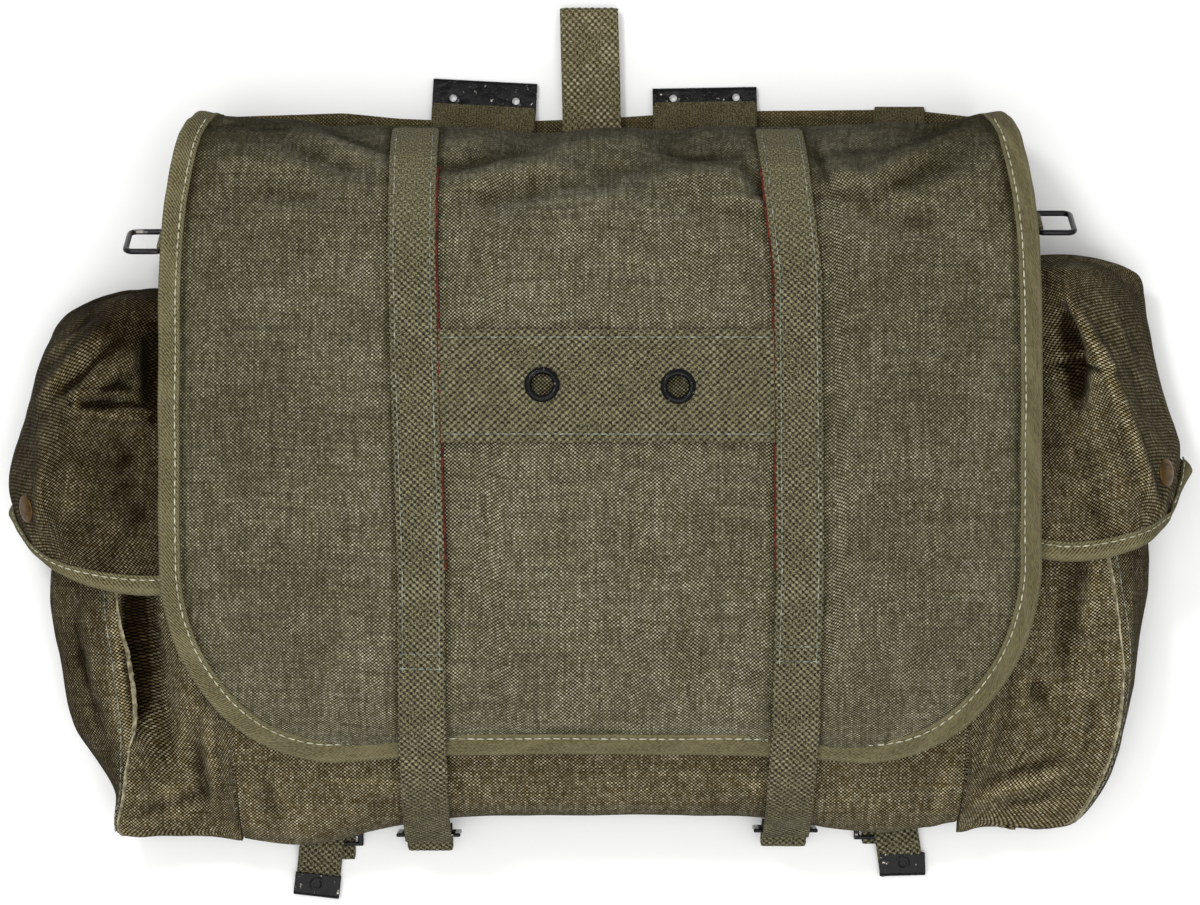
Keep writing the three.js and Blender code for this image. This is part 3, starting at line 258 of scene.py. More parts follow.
def makeTape(name, look):
    material, tree = newMaterial(name)
    cut = addNode(tree, "ShaderNodeUVMap", uv_map="cut")
    u, v = addNode(tree, "ShaderNodeSeparateXYZ", {0: cut}).node.outputs[:2]
    slant = calculate(tree, "ADD", u, v)
    rib = calculate(tree, "PINGPONG", slant, look["rib"] / 2)
    ribShare = mapRange(tree, rib, 0.0, look["rib"] / 2)
    fibre = noiseNode(tree, cut, look["fibre"], 3.0)
    patch = noiseNode(tree, cut, look["patch"], 4.0)
    toneBy = calculate(tree, "MULTIPLY_ADD", ribShare, look["ribTone"], fibre)
    toned = mapRange(tree, toneBy, *look["tone"])
    woven = mixColours(tree, toned, hexColour(look["dark"]), hexColour(look["pale"]))
    edge = mapRange(tree, attribute(tree, "crest"), *look["edgeAt"], 0.0, look["edgeRub"])
    rubBy = mapRange(tree, patch, *look["patchAt"], 0.0, look["patchRub"])
    rub = calculate(tree, "ADD", edge, rubBy, clamp=True)
    colour = mixColours(tree, rub, woven, hexColour(look["rubbed"]))
    height = calculate(tree, "MULTIPLY_ADD", fibre, look["fibreLift"], ribShare)
    bump = bumpNode(tree, look["bump"], look["lift"], height)
    rough = mapRange(tree, patch, 0.0, 1.0, *look["rough"])
    finishCotton(tree, colour, rough, bump, look)
    return material


# Metals: a base coat, a second tone where a noise of real size passes a limit, and gloss from the roughness.
# Japanned steel is a thick glossy black baked varnish, chipped to bare metal in places.
# Phosphated steel wire is dark grey and half dull, bright where it has rubbed. Brass is tarnished brown.
metalLooks = {
    "japanned steel": {"coat": "#0c0b0c", "bare": "#8a837a", "metal": (0.0, 1.0), "rough": (0.08, 0.36),
                       "chip": 3.2 * mm, "limit": (0.63, 0.67), "gloss": 0.14, "dents": 1.6 * mm},
    "phosphated steel": {"coat": "#1e1d1f", "bare": "#8f8b85", "metal": (0.6, 1.0), "rough": (0.4, 0.22),
                         "chip": 9 * mm, "limit": (0.56, 0.68), "gloss": 0.4, "dents": 0.1 * mm},
    "tarnished brass": {"coat": "#5d4626", "bare": "#2d2012", "metal": (0.9, 0.7), "rough": (0.42, 0.62),
                        "chip": 4 * mm, "limit": (0.48, 0.7), "gloss": 0.5, "dents": 0.08 * mm},
}
metalScale = {"smear": 6 * mm, "smearAt": (0.3, 0.75), "bump": 0.4}  # dull and glossy patches


def makeMetal(name, look):
    material, tree = newMaterial(name)
    place = addNode(tree, "ShaderNodeTexCoord", output="Object")
    patch = noiseNode(tree, place, look["chip"], 5.0, 0.6)
    bareBy = mapRange(tree, patch, *look["limit"])
    colour = mixColours(tree, bareBy, hexColour(look["coat"]), hexColour(look["bare"]))
    metal = mapRange(tree, bareBy, 0.0, 1.0, *look["metal"])
    smear = noiseNode(tree, place, metalScale["smear"], 4.0)
    rough = mapRange(tree, smear, *metalScale["smearAt"], *look["rough"])
    bump = bumpNode(tree, metalScale["bump"], look["dents"], smear)
    finishSurface(tree, {"Base Color": colour, "Metallic": metal, "Roughness": rough, "Normal": bump,
                         "Specular IOR Level": look["gloss"]})
    return material


# Sewing thread and frayed cloth: twisted cotton, matt, a little darker in places
threadLooks = {
    "pale thread": ("#8f8e74", "#c9c8b2"), "grey thread": ("#4f5448", "#9ba093"),
    "red thread": ("#34110d", "#66251b"), "frayed duck": ("#5f5640", "#b0a98c"),
}
threadScale = {"patch": 3.5 * mm, "tone": (0.35, 0.65), "rough": (0.75, 0.95), "gloss": 0.3}


def makeThread(name, colours):
    material, tree = newMaterial(name)
    place = addNode(tree, "ShaderNodeTexCoord", output="Object")
    tone = noiseNode(tree, place, threadScale["patch"], 3.0)
    toned = mapRange(tree, tone, *threadScale["tone"])
    colour = mixColours(tree, toned, hexColour(colours[0]), hexColour(colours[1]))
    rough = mapRange(tree, tone, 0.0, 1.0, *threadScale["rough"])
    finishSurface(tree, {"Base Color": colour, "Roughness": rough, "IOR": 1.45,
                         "Specular IOR Level": threadScale["gloss"]})
    return material


materials = {name: makeDuck(name, look) for name, look in duckLooks.items()}
materials |= {name: makeWebbing(name, look) for name, look in webLooks.items()}
materials["twill tape"] = makeTape("twill tape", tapeLook)
materials |= {name: makeMetal(name, look) for name, look in metalLooks.items()}
materials |= {name: makeThread(name, colours) for name, colours in threadLooks.items()}
print("materials made:", len(materials))


def splineAt(values, position):
    # smooth curve through evenly numbered values, read at any position
    values, position = np.asarray(values, float), np.asarray(position, float)
    last = len(values) - 1
    i = np.clip(np.floor(position).astype(int), 0, last - 1)
    spread = position.shape + (1,) * (values.ndim - 1)
    t = (position - i).reshape(spread)
    b, c = values[i], values[i + 1]
    a = np.where(i.reshape(spread) > 0, values[np.maximum(i - 1, 0)], 2 * b - c)
    d = np.where(i.reshape(spread) + 2 <= last, values[np.minimum(i + 2, last)], 2 * c - b)
    cubic, square = 3 * b - a - 3 * c + d, 2 * a - 5 * b + 4 * c - d
    return 0.5 * (2 * b + (c - a) * t + square * t ** 2 + cubic * t ** 3)


def matched(first, second):
    return np.broadcast_arrays(np.asarray(first, float), np.asarray(second, float))


def unit(vectors):
    return vectors / np.maximum(np.linalg.norm(vectors, axis=-1, keepdims=True), 1e-12)


def softNoise(points, size, seed):
    # smooth noise from -1 to 1 whose lumps are about that size
    flat = np.asarray(points, float).reshape(-1, 3) / size + 13.7 * seed
    return np.array([noise.noise(p) for p in flat.tolist()]).reshape(np.shape(points)[:-1])


def smoothStep(value, low, high):
    t = np.clip((value - low) / (high - low), 0, 1)
    return t * t * (3 - 2 * t)


def foldHeight(folds, x, y):
    # ridges and hollows along lines in plan: x0, y0, x1, y1, width and height in mm
    total = np.zeros_like(x)
    for x0, y0, x1, y1, width, height in np.array(folds, float):
        dx, dy = x1 - x0, y1 - y0
        t = np.clip(((x / mm - x0) * dx + (y / mm - y0) * dy) / (dx * dx + dy * dy), 0, 1)
        far = np.hypot(x / mm - x0 - t * dx, y / mm - y0 - t * dy)
        taper = np.sin(np.pi * (0.08 + 0.84 * t)) ** 0.8
        total += height * mm * taper * np.exp(-(far / width) ** 2)
    return total


def lengthsOf(path):
    # length walked at each stop of a path
    return np.concatenate([[0], np.cumsum(np.linalg.norm(np.diff(path, axis=0), axis=1))])


def alongPath(values, lengths, walk):
    return np.stack([np.interp(walk, lengths, column) for column in values.T], -1)


def splineGrid(grid, rowsAt, columnsAt):
    # smooth along the rows, then across the columns
    across = np.swapaxes(splineAt(grid, rowsAt), 0, 1)
    return np.swapaxes(splineAt(across, columnsAt), 0, 1)


def arcLengths(points, axis):
    steps = np.linalg.norm(np.diff(points, axis=axis), axis=-1)
    return np.cumsum(np.pad(steps, [(1, 0) if k == axis else (0, 0) for k in range(2)]), axis=axis)


def crossNormals(points):
    return unit(np.cross(np.gradient(points, axis=1), np.gradient(points, axis=0)))


def gridNormals(points, inside):
    normals = crossNormals(points)
    return normals if (normals * (points - inside)).sum() > 0 else -normals


def crestOf(points, normals, reach, scale):
    # above 0.5 on ridges and below it in hollows, judged against neighbours a few steps away
    mean = np.zeros_like(points)
    for axis in (0, 1):
        order = np.arange(points.shape[axis])
        for step in (-reach, reach):
            mean += np.take(points, np.clip(order + step, 0, len(order) - 1), axis=axis) / 4
    bend = ((points - mean) * normals).sum(-1)
    bend[:reach], bend[-reach:], bend[:, :reach], bend[:, -reach:] = 0, 0, 0, 0
    return np.clip(0.5 + bend / (2 * scale), 0, 1)


def gridQuads(rows, columns):
    index = np.arange(rows * columns).reshape(rows, columns)
    return np.stack([index[:-1, :-1], index[:-1, 1:], index[1:, 1:], index[1:, :-1]], -1)


def tubeQuads(rows, around, closed=False):
    # the grid meets itself across, and lengthwise too if it is closed
    index = np.arange(rows * around).reshape(rows, around)
    turned = np.roll(index, -1, axis=1)
    quads = np.stack([index, turned, np.roll(turned, -1, axis=0), np.roll(index, -1, axis=0)], -1)
    return quads[:rows if closed else rows - 1].reshape(-1, 4)


def addObject(name, mesh, material=None):
    if material:
        mesh.materials.append(materials[material])
        mesh.polygons.foreach_set("use_smooth", np.ones(len(mesh.polygons), bool))
    obj = bpy.data.objects.new(name, mesh)
    bpy.context.scene.collection.objects.link(obj)
    return obj


def addTube(name, points, closed, material):
    build = bmesh.new()
    verts = [build.verts.new(p) for p in points.reshape(-1, 3).tolist()]
    for quad in tubeQuads(*points.shape[:2], closed).tolist():
        build.faces.new([verts[i] for i in quad])
    bmesh.ops.remove_doubles(build, verts=build.verts, dist=1e-6)
    bmesh.ops.recalc_face_normals(build, faces=build.faces)
    mesh = bpy.data.meshes.new(name)
    build.to_mesh(mesh)
    build.free()
    return addObject(name, mesh, material)


def gridObject(name, points, material, wall, facing=None, values={}, keep=None, flat=None):
    # a cloth wall: the grid is its outer face, and Solidify gives it its thickness inwards
    rows, columns = points.shape[:2]
    outward = (crossNormals(points) * ((points - bagMiddle) if facing is None else facing)).sum() > 0
    quads = gridQuads(rows, columns)
    quads = quads.reshape(-1, 4) if keep is None else quads[keep]
    quads = quads if outward else quads[:, ::-1]
    used, quads = np.unique(quads, return_inverse=True)
    quads = quads.reshape(-1, 4)
    mesh = bpy.data.meshes.new(name)
    mesh.from_pydata(points.reshape(-1, 3)[used].tolist(), [], quads.tolist())
    flat = points if flat is None else flat  # the cloth before it creased, for the run of its threads
    across = arcLengths(flat, 1)
    cut = np.stack([across - across[:, columns // 2:columns // 2 + 1], arcLengths(flat, 0)], -1)
    mesh.uv_layers.new(name="cut").data.foreach_set("uv", cut.reshape(-1, 2)[used][quads.ravel()].ravel())
    for label, value in values.items():
        data = mesh.attributes.new(label, "FLOAT", "POINT").data
        data.foreach_set("value", np.broadcast_to(value, (rows, columns)).ravel()[used].astype(np.float32))
    obj = addObject(name, mesh, material)
    solid = obj.modifiers.new("wall", "SOLIDIFY")
    solid.thickness, solid.offset, solid.use_quality_normals = wall, -1, True
    return obj


def finishPiece(obj, nodes=(), body="root", sharp=55):
    # modifiers become plain mesh, then the piece takes the place of its CAD nodes
    graph = bpy.context.evaluated_depsgraph_get()
    mesh = bpy.data.meshes.new_from_object(obj.evaluated_get(graph), preserve_all_data_layers=True,
                                           depsgraph=graph)
    obj.modifiers.clear()
    obj.data = mesh
    mesh.name = obj.name
    mesh.set_sharp_from_angle(angle=math.radians(sharp))
    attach(obj, body)
    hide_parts(*nodes)
    return obj


# Cloth simulation: a sheet is cut a little large, held by its seams, and left to buckle and sink
settling = {"frames": 22, "mass": 0.35, "tension": 18, "shear": 8, "bending": 12, "damping": 8, "quality": 6}


def settle(points, grip, piece):
    # grip is 1 where the cloth is sewn and near 0 where it is loose; gives the movement, no more than cap
    grow, cap, every = piece["grow"], piece["cap"], piece["every"]
    rows, columns = points.shape[:2]
    pickRows = np.unique(np.round(np.linspace(0, rows - 1, rows // every)).astype(int))
    pickColumns = np.unique(np.round(np.linspace(0, columns - 1, columns // every)).astype(int))
    coarse = points[np.ix_(pickRows, pickColumns)]
    hold = np.broadcast_to(grip, (rows, columns))[np.ix_(pickRows, pickColumns)]
    mesh = bpy.data.meshes.new("settling")
    mesh.from_pydata(coarse.reshape(-1, 3).tolist(), [], gridQuads(*coarse.shape[:2]).reshape(-1, 4).tolist())
    obj = addObject("settling", mesh)
    group = obj.vertex_groups.new(name="grip")
    for k, weight in enumerate(hold.ravel().tolist()):
        group.add([k], weight, "REPLACE")
    cloth = obj.modifiers.new("cloth", "CLOTH")
    chosen = cloth.settings
    chosen.quality, chosen.mass = settling["quality"], settling["mass"]
    chosen.tension_stiffness = chosen.compression_stiffness = settling["tension"]
    chosen.shear_stiffness, chosen.bending_stiffness = settling["shear"], settling["bending"]
    chosen.tension_damping = chosen.compression_damping = settling["damping"]
    chosen.vertex_group_mass, chosen.pin_stiffness = "grip", 1.0
    chosen.shrink_min = chosen.shrink_max = -grow
    cloth.point_cache.frame_start, cloth.point_cache.frame_end = 1, settling["frames"]
    for moment in range(1, settling["frames"] + 1):
        bpy.context.scene.frame_set(moment)
    graph = bpy.context.evaluated_depsgraph_get()
    moved = np.zeros(coarse.size)
    obj.evaluated_get(graph).data.vertices.foreach_get("co", moved)
    bpy.context.scene.frame_set(1)
    bpy.data.objects.remove(obj)
    shift = moved.reshape(coarse.shape) - coarse
    far = np.linalg.norm(shift, axis=-1, keepdims=True)
    shift = shift / np.maximum(far, 1e-9) * cap * np.tanh(far / cap)
    for axis in (0, 1, 0, 1):  # evens out kinks of single threads of the grid
        order = np.arange(shift.shape[axis])
        before = np.take(shift, np.maximum(order - 1, 0), axis)
        after = np.take(shift, np.minimum(order + 1, order[-1]), axis)
        shift = 0.5 * shift + 0.25 * (before + after)
    rowAt = np.interp(np.arange(rows), pickRows, np.arange(len(pickRows)))
    columnAt = np.interp(np.arange(columns), pickColumns, np.arange(len(pickColumns)))
    return splineGrid(shift, rowAt, columnAt)


# Straps, needed early because the lid puckers along them
strap = {
    "width": 25 * mm, "thick": 2 * mm, "gap": 0.5 * mm, "endRound": 2.5 * mm, "tiltAbove": 90 * mm,
    "worn": (0.75, 0.06, 0.24),  # how much the top end is worn down, and over what share of the length
    "lines": {  # middle line of each strap: y, x in mm
        "left": [(-210, -92.5), (-60, -93), (60, -97), (172, -98)],
        "right": [(-210, 100), (-60, 104), (90, 103), (172, 95)],
    },
    "seamEnd": {"left": -113 * mm, "right": -110 * mm},  # cross seam, below which the strap hangs free
    "top": 171 * mm, "free": (-112 * mm, -142 * mm, 1.9 * mm),  # free from, to, lift
    "drop": [  # y, z in mm and pull, down the base and through the slide
        (-167, 97, 0), (-182, 85, 0), (-193, 70, 0), (-202, 54, 0.6), (-209.6, 40, 1), (-209.4, 37, 1),
        (-203.4, 29, 1), (-203.4, 26, 1), (-209.4, 18, 1), (-210.4, 15, 1), (-217.5, 10, 1),
    ],
    "pull": {"left": 0, "right": 2.4 * mm},
}


def strapX(side, y):
    table = np.array(strap["lines"][side]) * mm
    return np.interp(y, table[:, 0], table[:, 1])


# Lid: one sheet, hinged low on the back, over the top and down the front
lid = {
    "rows": np.array([  # yMid, zMid, ySide, zSide, half
        (172, 2, 172, 2, 207),  # hinge
        (175, 27, 180, 25, 212),
        (170, 63, 180, 57, 216),  # fold at the top
        (148, 95, 163, 81, 223),
        (106, 110, 112, 91, 230),
        (22, 118.5, 22, 93, 231),
        (-56, 118, -56, 92, 231),
        (-104, 114.5, -106, 89, 231),
        (-138, 106, -143, 85, 231),
        (-157, 97, -162, 80, 231),  # hem
    ]) * mm,
    "crown": 2.6, "corner": (-56 * mm, 92 * mm, 106 * mm), "foldRow": 2, "cell": 2.45 * mm, "wall": 1.6 * mm,
    "folds": [
        (-60, 150, 60, 146, 14, -2), (-52, 170, -18, 170, 11, -7), (28, 170, 56, 170, 10, -3),
        (-150, 176, -111, 160, 5, -3.5), (-168, 176, -114, 150, 7, 3.5), (-160, 160, -112, 148, 6, -3),
        (-200, 160, -150, 150, 14, 3), (-186, 140, -120, 132, 9, -2.2), (-116, 136, -180, 122, 10, 2),
        (-84, 149, -40, 164, 6, -4.2), (-84, 160, -52, 167, 6, 4), (-79, 140, -20, 156, 7, 3.6),
        (-70, 132, 0, 146, 8, -3), (-30, 160, 28, 166, 7, 4), (-10, 148, 40, 154, 8, -2.6),
        (28, 164, 74, 156, 6, -4.6), (74, 156, 88, 134, 5, -4.5), (40, 172, 84, 166, 6, 3.4),
        (20, 148, 76, 144, 7, 3.2), (62, 134, 88, 131, 3, 2.4), (30, 132, 84, 122, 9, -2),
        (119, 162, 153, 165, 6, -5), (153, 165, 196, 177, 7, -4.2), (116, 149, 143, 144, 6, 3.6),
        (143, 144, 168, 158, 6, 4.2), (168, 158, 206, 178, 7, 3.4), (118, 134, 176, 118, 9, -3),
        (140, 126, 204, 146, 9, 2.4), (112, 170, 120, 140, 4, -3.2), (110, 84, 190, 60, 14, 1.4),
        (-120, 60, -200, 20, 18, 1.4), (-210, 90, -215, -40, 12, 1.6), (212, 60, 214, -60, 12, 1.4),
        (-60, -90, 70, -100, 22, -1.4), (-180, -60, -130, -120, 18, 1.4), (140, -110, 190, -70, 16, 1.4),
    ],
    "grow": 0.022, "cap": 6 * mm, "every": 3, "loose": 0.95, "sink": -1.2 * mm,  # for its settling
    "slackFrom": (1.5, 2.2), "tautFrom": (3.6, 4.6), "taut": 0.88, "sewnFrom": (8.2, 8.8),  # row positions
    "sewnSide": 0.08, "crest": 0.6 * mm,
    "seamPull": 0.55 * mm, "seamReach": 7 * mm, "seamWave": 15 * mm, "seamFade": 6 * mm,
    "seamSway": (2.2, 23 * mm), "crossSway": (2, 17 * mm),
    "hemWave": (1.5 * mm, 34 * mm), "undulation": ((0.9 * mm, 62 * mm), (0.28 * mm, 19 * mm)),
    "crinkle": (0.8 * mm, 8 * mm, 0.5),  # small creases across the top band: height, size, how far drawn out
    "crinkleBand": (100 * mm, 150 * mm),
    "rim": (0.86, 0.14, 7.6, 1.4),  # start and width of the wavy rim, at the side and at the hem
    # darkening of the lid cloth: towards the sides; painted shade over the top band and in the eyelet holes;
    # painted shadow lines beside the straps and the tape
    "dirtAndShade": {
        "side": 0.34, "sideBand": (90 * mm, 200 * mm), "lowBand": (-110 * mm, 0), "patch": 40 * mm,
        "top": 0.6, "topBand": (105 * mm, 165 * mm), "eyelet": 0.7, "eyeletReach": (9 * mm, 3 * mm),
        "strapLine": (0.55, 0.8 * mm, 2.2 * mm), "rimLine": (0.6, 12 * mm, 2 * mm),  # share, place, width
    },
}
eyelets = {"left": (-30 * mm, 35 * mm), "right": (40.5 * mm, 34 * mm)}
gearWeb = {
    "top": 64 * mm, "bottom": 5 * mm, "long": 172 * mm, "yarns": 34, "gap": 0.35 * mm, "seamIn": 4.5 * mm,
    "fall": 0.4, "wall": 0.9,  # drop at the selvedge and wall, as shares of the strap's thickness
}


def lidHalf(position):
    start, wide, tall = lid["corner"]
    below = np.clip((start - splineAt(lid["rows"][:, 2], position)) / tall, 0, 1)
    return splineAt(lid["rows"][:, 4], position) - wide * (1 - np.sqrt(1 - below ** 2))


def lidBase(position, fraction):
    position, fraction = matched(position, fraction)
    yMid, zMid, ySide, zSide, half = (splineAt(column, position) for column in lid["rows"].T)
    x = fraction * lidHalf(position)
    y = yMid + (ySide - yMid) * np.abs(fraction) ** lid["crown"]
    z = zMid + (zSide - zMid) * np.abs(x / half) ** lid["crown"]
    return np.stack([x, y, z], -1)


def lidNormal(position, fraction, step=0.02):
    last = len(lid["rows"]) - 1
    across = lidBase(position, fraction + step) - lidBase(position, fraction - step)
    above = lidBase(np.maximum(position - step, 0), fraction)
    below = lidBase(np.minimum(position + step, last), fraction)
    return unit(np.cross(across, above - below))


def lidPuckers(x, y):
    # the cloth is drawn down beside each seam, in short waves
    pull, reach, wave, fade = lid["seamPull"], lid["seamReach"], lid["seamWave"], lid["seamFade"]
    sway, swayLong = lid["seamSway"]
    total = np.zeros_like(x)
    inner = {}
    for side, sign in sides.items():
        aside = x - strapX(side, y)
        off = np.abs(aside) - strap["width"] / 2
        phase = 2 * np.pi * y / wave + sway * np.sin(y / swayLong) + sign + np.sign(aside)
        ripple = 0.5 + 0.5 * np.sin(phase)
        total -= np.where(off > 0, np.exp(-np.maximum(off, 0) / reach) * ripple, 0.5) * pull
        inner[side] = strapX(side, y) - sign * strap["width"] / 2
    between = smoothStep(x, inner["left"], inner["left"] + fade)
    between = between * smoothStep(-x, -inner["right"], -inner["right"] + fade)
    sway, swayLong = lid["crossSway"]
    for edge, away in ((gearWeb["top"], 1), (gearWeb["bottom"], -1)):
        off = away * (y - edge)
        ripple = 0.5 + 0.5 * np.sin(2 * np.pi * x / wave + sway * np.sin(x / swayLong))
        total -= between * np.where(off > 0, np.exp(-np.maximum(off, 0) / reach) * ripple, 0) * pull
    return total


def lidSurface(position, fraction):
    position, fraction = matched(position, fraction)
    base, normal = lidBase(position, fraction), lidNormal(position, fraction)
    x, y = base[..., 0], base[..., 1]
    front = smoothStep(position, 0.4, 1.6)
    lift = foldHeight(lid["folds"], x, y) + lidPuckers(x, y)
    for seed, (height, size) in enumerate(lid["undulation"]):
        lift = lift + height * softNoise(base, size, seed)
    height, size, draw = lid["crinkle"]
    lift = lift + height * smoothStep(y, *lid["crinkleBand"]) * softNoise(base * [draw, 1, 1], size, 11)
    height, size = lid["hemWave"]
    sideStart, sideWide, hemStart, hemWide = lid["rim"]
    nearSide = np.clip((np.abs(fraction) - sideStart) / sideWide, 0, 1)
    rim = np.maximum(nearSide, np.clip((position - hemStart) / hemWide, 0, 1))
    lift = lift + rim ** 1.5 * height * softNoise(base, size, 7)
    shift = 0
    if "shift" in lid:  # how the cloth moved as it settled
        rowAt = np.interp(position, lid["shiftRows"], np.arange(len(lid["shiftRows"])))
        columnAt = np.interp(fraction, lid["shiftColumns"], np.arange(len(lid["shiftColumns"])))
        shift = betweenCells(lid["shift"], rowAt, columnAt)
    return base + normal * (front * lift)[..., None] + shift, normal


def betweenCells(grid, rowAt, columnAt):
    i = np.clip(np.floor(rowAt).astype(int), 0, grid.shape[0] - 2)
    j = np.clip(np.floor(columnAt).astype(int), 0, grid.shape[1] - 2)
    s, t = (rowAt - i)[..., None], (columnAt - j)[..., None]
    upper, lower = ((1 - t) * grid[k, j] + t * grid[k, j + 1] for k in (i, i + 1))
    return (1 - s) * upper + s * lower


def evenPositions(pointAt, first, last, step):
    # positions along a curve that are a step apart in length
    fine = np.linspace(first, last, 600)
    length = lengthsOf(pointAt(fine))
    return np.interp(np.linspace(0, length[-1], max(2, round(length[-1] / step) + 1)), length, fine)


def lidPositionAt(x, y):
    # row position on the front where the lid at x has that y
    x, y = matched(x, y)
    low, high = np.full(x.shape, float(lid["foldRow"])), np.full(x.shape, len(lid["rows"]) - 1.0)
    for _ in range(28):
        middle = (low + high) / 2
        above = lidBase(middle, x / lidHalf(middle))[..., 1] > y
        low, high = np.where(above, middle, low), np.where(above, high, middle)
    return (low + high) / 2


def lidAt(x, y):
    # point and normal of the lid above that spot
    row = lidPositionAt(x, y)
    return lidSurface(row, x / lidHalf(row))


lidLast = len(lid["rows"]) - 1
lidRows = evenPositions(lambda p: lidBase(p, np.zeros_like(p)), 0, lidLast, lid["cell"])
lidColumns = np.linspace(-1, 1, round(2 * lid["rows"][:, 4].max() / lid["cell"]) + 1)
lidPoints, lidNormals = lidSurface(lidRows[:, None], lidColumns[None, :])
loose = smoothStep(lidRows, *lid["slackFrom"]) * (1 - lid["taut"] * smoothStep(lidRows, *lid["tautFrom"]))
loose = loose * (1 - smoothStep(lidRows, *lid["sewnFrom"]))
loose = loose[:, None] * smoothStep(1 - np.abs(lidColumns), 0, lid["sewnSide"])[None, :]
lidShift = settle(lidPoints, 1 - lid["loose"] * loose, lid)
# the load below stops the cloth
sunk = np.maximum(lid["sink"] - (lidShift * lidNormals).sum(-1, keepdims=True), 0)
lid["shift"] = lidShift + lidNormals * sunk
lid["shiftRows"], lid["shiftColumns"] = lidRows, lidColumns
lidPoints = lidPoints + lid["shift"]
lidX, lidY = lidPoints[..., 0], lidPoints[..., 1]
dirtAndShade = lid["dirtAndShade"]
# darker towards the sides, less so low on the front
lidSoilAndShade = dirtAndShade["side"] * smoothStep(np.abs(lidX), *dirtAndShade["sideBand"])
lidSoilAndShade = lidSoilAndShade * (0.4 + 0.6 * smoothStep(lidY, *dirtAndShade["lowBand"]))
# painted shade over the top band, where the lid turns over
lidSoilAndShade = lidSoilAndShade + dirtAndShade["top"] * smoothStep(lidY, *dirtAndShade["topBand"])
lidSoilAndShade = lidSoilAndShade * (0.75 + 0.5 * softNoise(lidPoints, dirtAndShade["patch"], 3))
share, place, wide = dirtAndShade["strapLine"]
for side in sides:  # painted shadow lines beside the straps
    off = np.abs(lidX - strapX(side, lidY)) - strap["width"] / 2
    lidSoilAndShade = lidSoilAndShade + share * np.exp(-((off - place) / wide) ** 2)
# painted shadow line along the tape's inner edge
sideGap = (1 - np.abs(lidColumns))[None, :] * lidHalf(lidRows)[:, None]
rimGap = np.minimum(sideGap, arcLengths(lidPoints[::-1], 0)[::-1])
share, place, wide = dirtAndShade["rimLine"]
lidSoilAndShade = lidSoilAndShade + share * np.exp(-((rimGap - place) / wide) ** 2)
# painted shade in and round the eyelet holes
reach, fade = dirtAndShade["eyeletReach"]
for x, y in eyelets.values():
    lidSoilAndShade = lidSoilAndShade + dirtAndShade["eyelet"] * smoothStep(reach - np.hypot(lidX - x, lidY - y), 0, fade)
lidCloth = gridObject("lid_cloth", lidPoints, "faded cotton duck", lid["wall"], values={
    "crest": crestOf(lidPoints, lidNormals, 2, lid["crest"]), "soilAndShade": np.clip(lidSoilAndShade, 0, 1)})
finishPiece(lidCloth, ["lid"])
print("lid:", lidPoints.shape[:2])


# Binding tape: folded round an edge. Section: distance in from the edge, height above the cloth, in mm
binding = {
    "section": [(11, 0.75), (10.6, 1.55), (9.4, 1.6), (8.5, 1.3), (6.4, 1.65), (3.5, 1.9), (0.8, 1.75),
                (-1.1, 0.6), (-1.6, -0.9), (-1.1, -2.3), (0.8, -3.2), (6.0, -3.35), (10.9, -3.2)],
    "drawn": 11 * mm, "lid": 11 * mm, "flap": 9 * mm,  # width of that section, and of each tape
    "wall": 0.9 * mm, "step": 2.2 * mm, "finer": 2, "pucker": (0.22 * mm, 8 * mm), "evened": 25,
}


def bindEdge(name, edge, normal, inward, width, node):
    section = np.array(binding["section"]) * mm
    section[:, 0] *= np.where(section[:, 0] > 0, width / binding["drawn"], 1)
    at = np.linspace(0, len(section) - 1, (len(section) - 1) * binding["finer"] + 1)
    inset, up = splineAt(section[:, 0], at), splineAt(section[:, 1], at)
    height, size = binding["pucker"]
    ripple = height * softNoise(edge, size, 11)[:, None] * (up > 0)
    points = edge[:, None] + inward[:, None] * inset[None, :, None]
    points = points + normal[:, None] * (up + ripple)[..., None]
    core = (edge + inward * width / 2)[:, None]
    crest = 0.5 + 0.3 * (np.abs(inset) < 1.8 * mm) + 0.2 * (inset > width - 1 * mm)
    obj = gridObject(name, points, "twill tape", binding["wall"], points - core, {"crest": crest})
    return finishPiece(obj, [node])


def pathFrame(points, normal, inside):
    # inward direction along a path on a surface: square to the path and the normal
    tangent = unit(np.gradient(points, axis=0))
    inward = unit(np.cross(normal, tangent))
    return inward * np.sign((inward * (inside - points)).sum(-1, keepdims=True))


sideWalk = evenPositions(lambda p: lidBase(p, -np.ones_like(p)), 2 / 3, lidLast, binding["step"])
hemWalk = np.linspace(-1, 1, round(2 * lidHalf(lidLast) / binding["step"]) + 1)[1:-1]
walkRows = np.concatenate([sideWalk, np.full(len(hemWalk), float(lidLast)), sideWalk[::-1]])
walkColumns = np.concatenate([-np.ones(len(sideWalk)), hemWalk, np.ones(len(sideWalk))])
lidEdge, lidEdgeNormal = lidSurface(walkRows, walkColumns)
# at the corners the rows run nearly along the edge, so its normals are evened out
spread = np.hanning(binding["evened"]) / np.hanning(binding["evened"]).sum()
padded = [np.pad(column, binding["evened"] // 2, "edge") for column in lidEdgeNormal.T]
lidEdgeNormal = unit(np.stack([np.convolve(column, spread, "valid") for column in padded], -1))
lidInward = pathFrame(lidEdge, lidEdgeNormal, np.array([0, 20, 60]) * mm)
print("lid edge:", len(lidEdge), "stops")
bindEdge("lid_tape", lidEdge, lidEdgeNormal, lidInward, binding["lid"], "lid_binding")


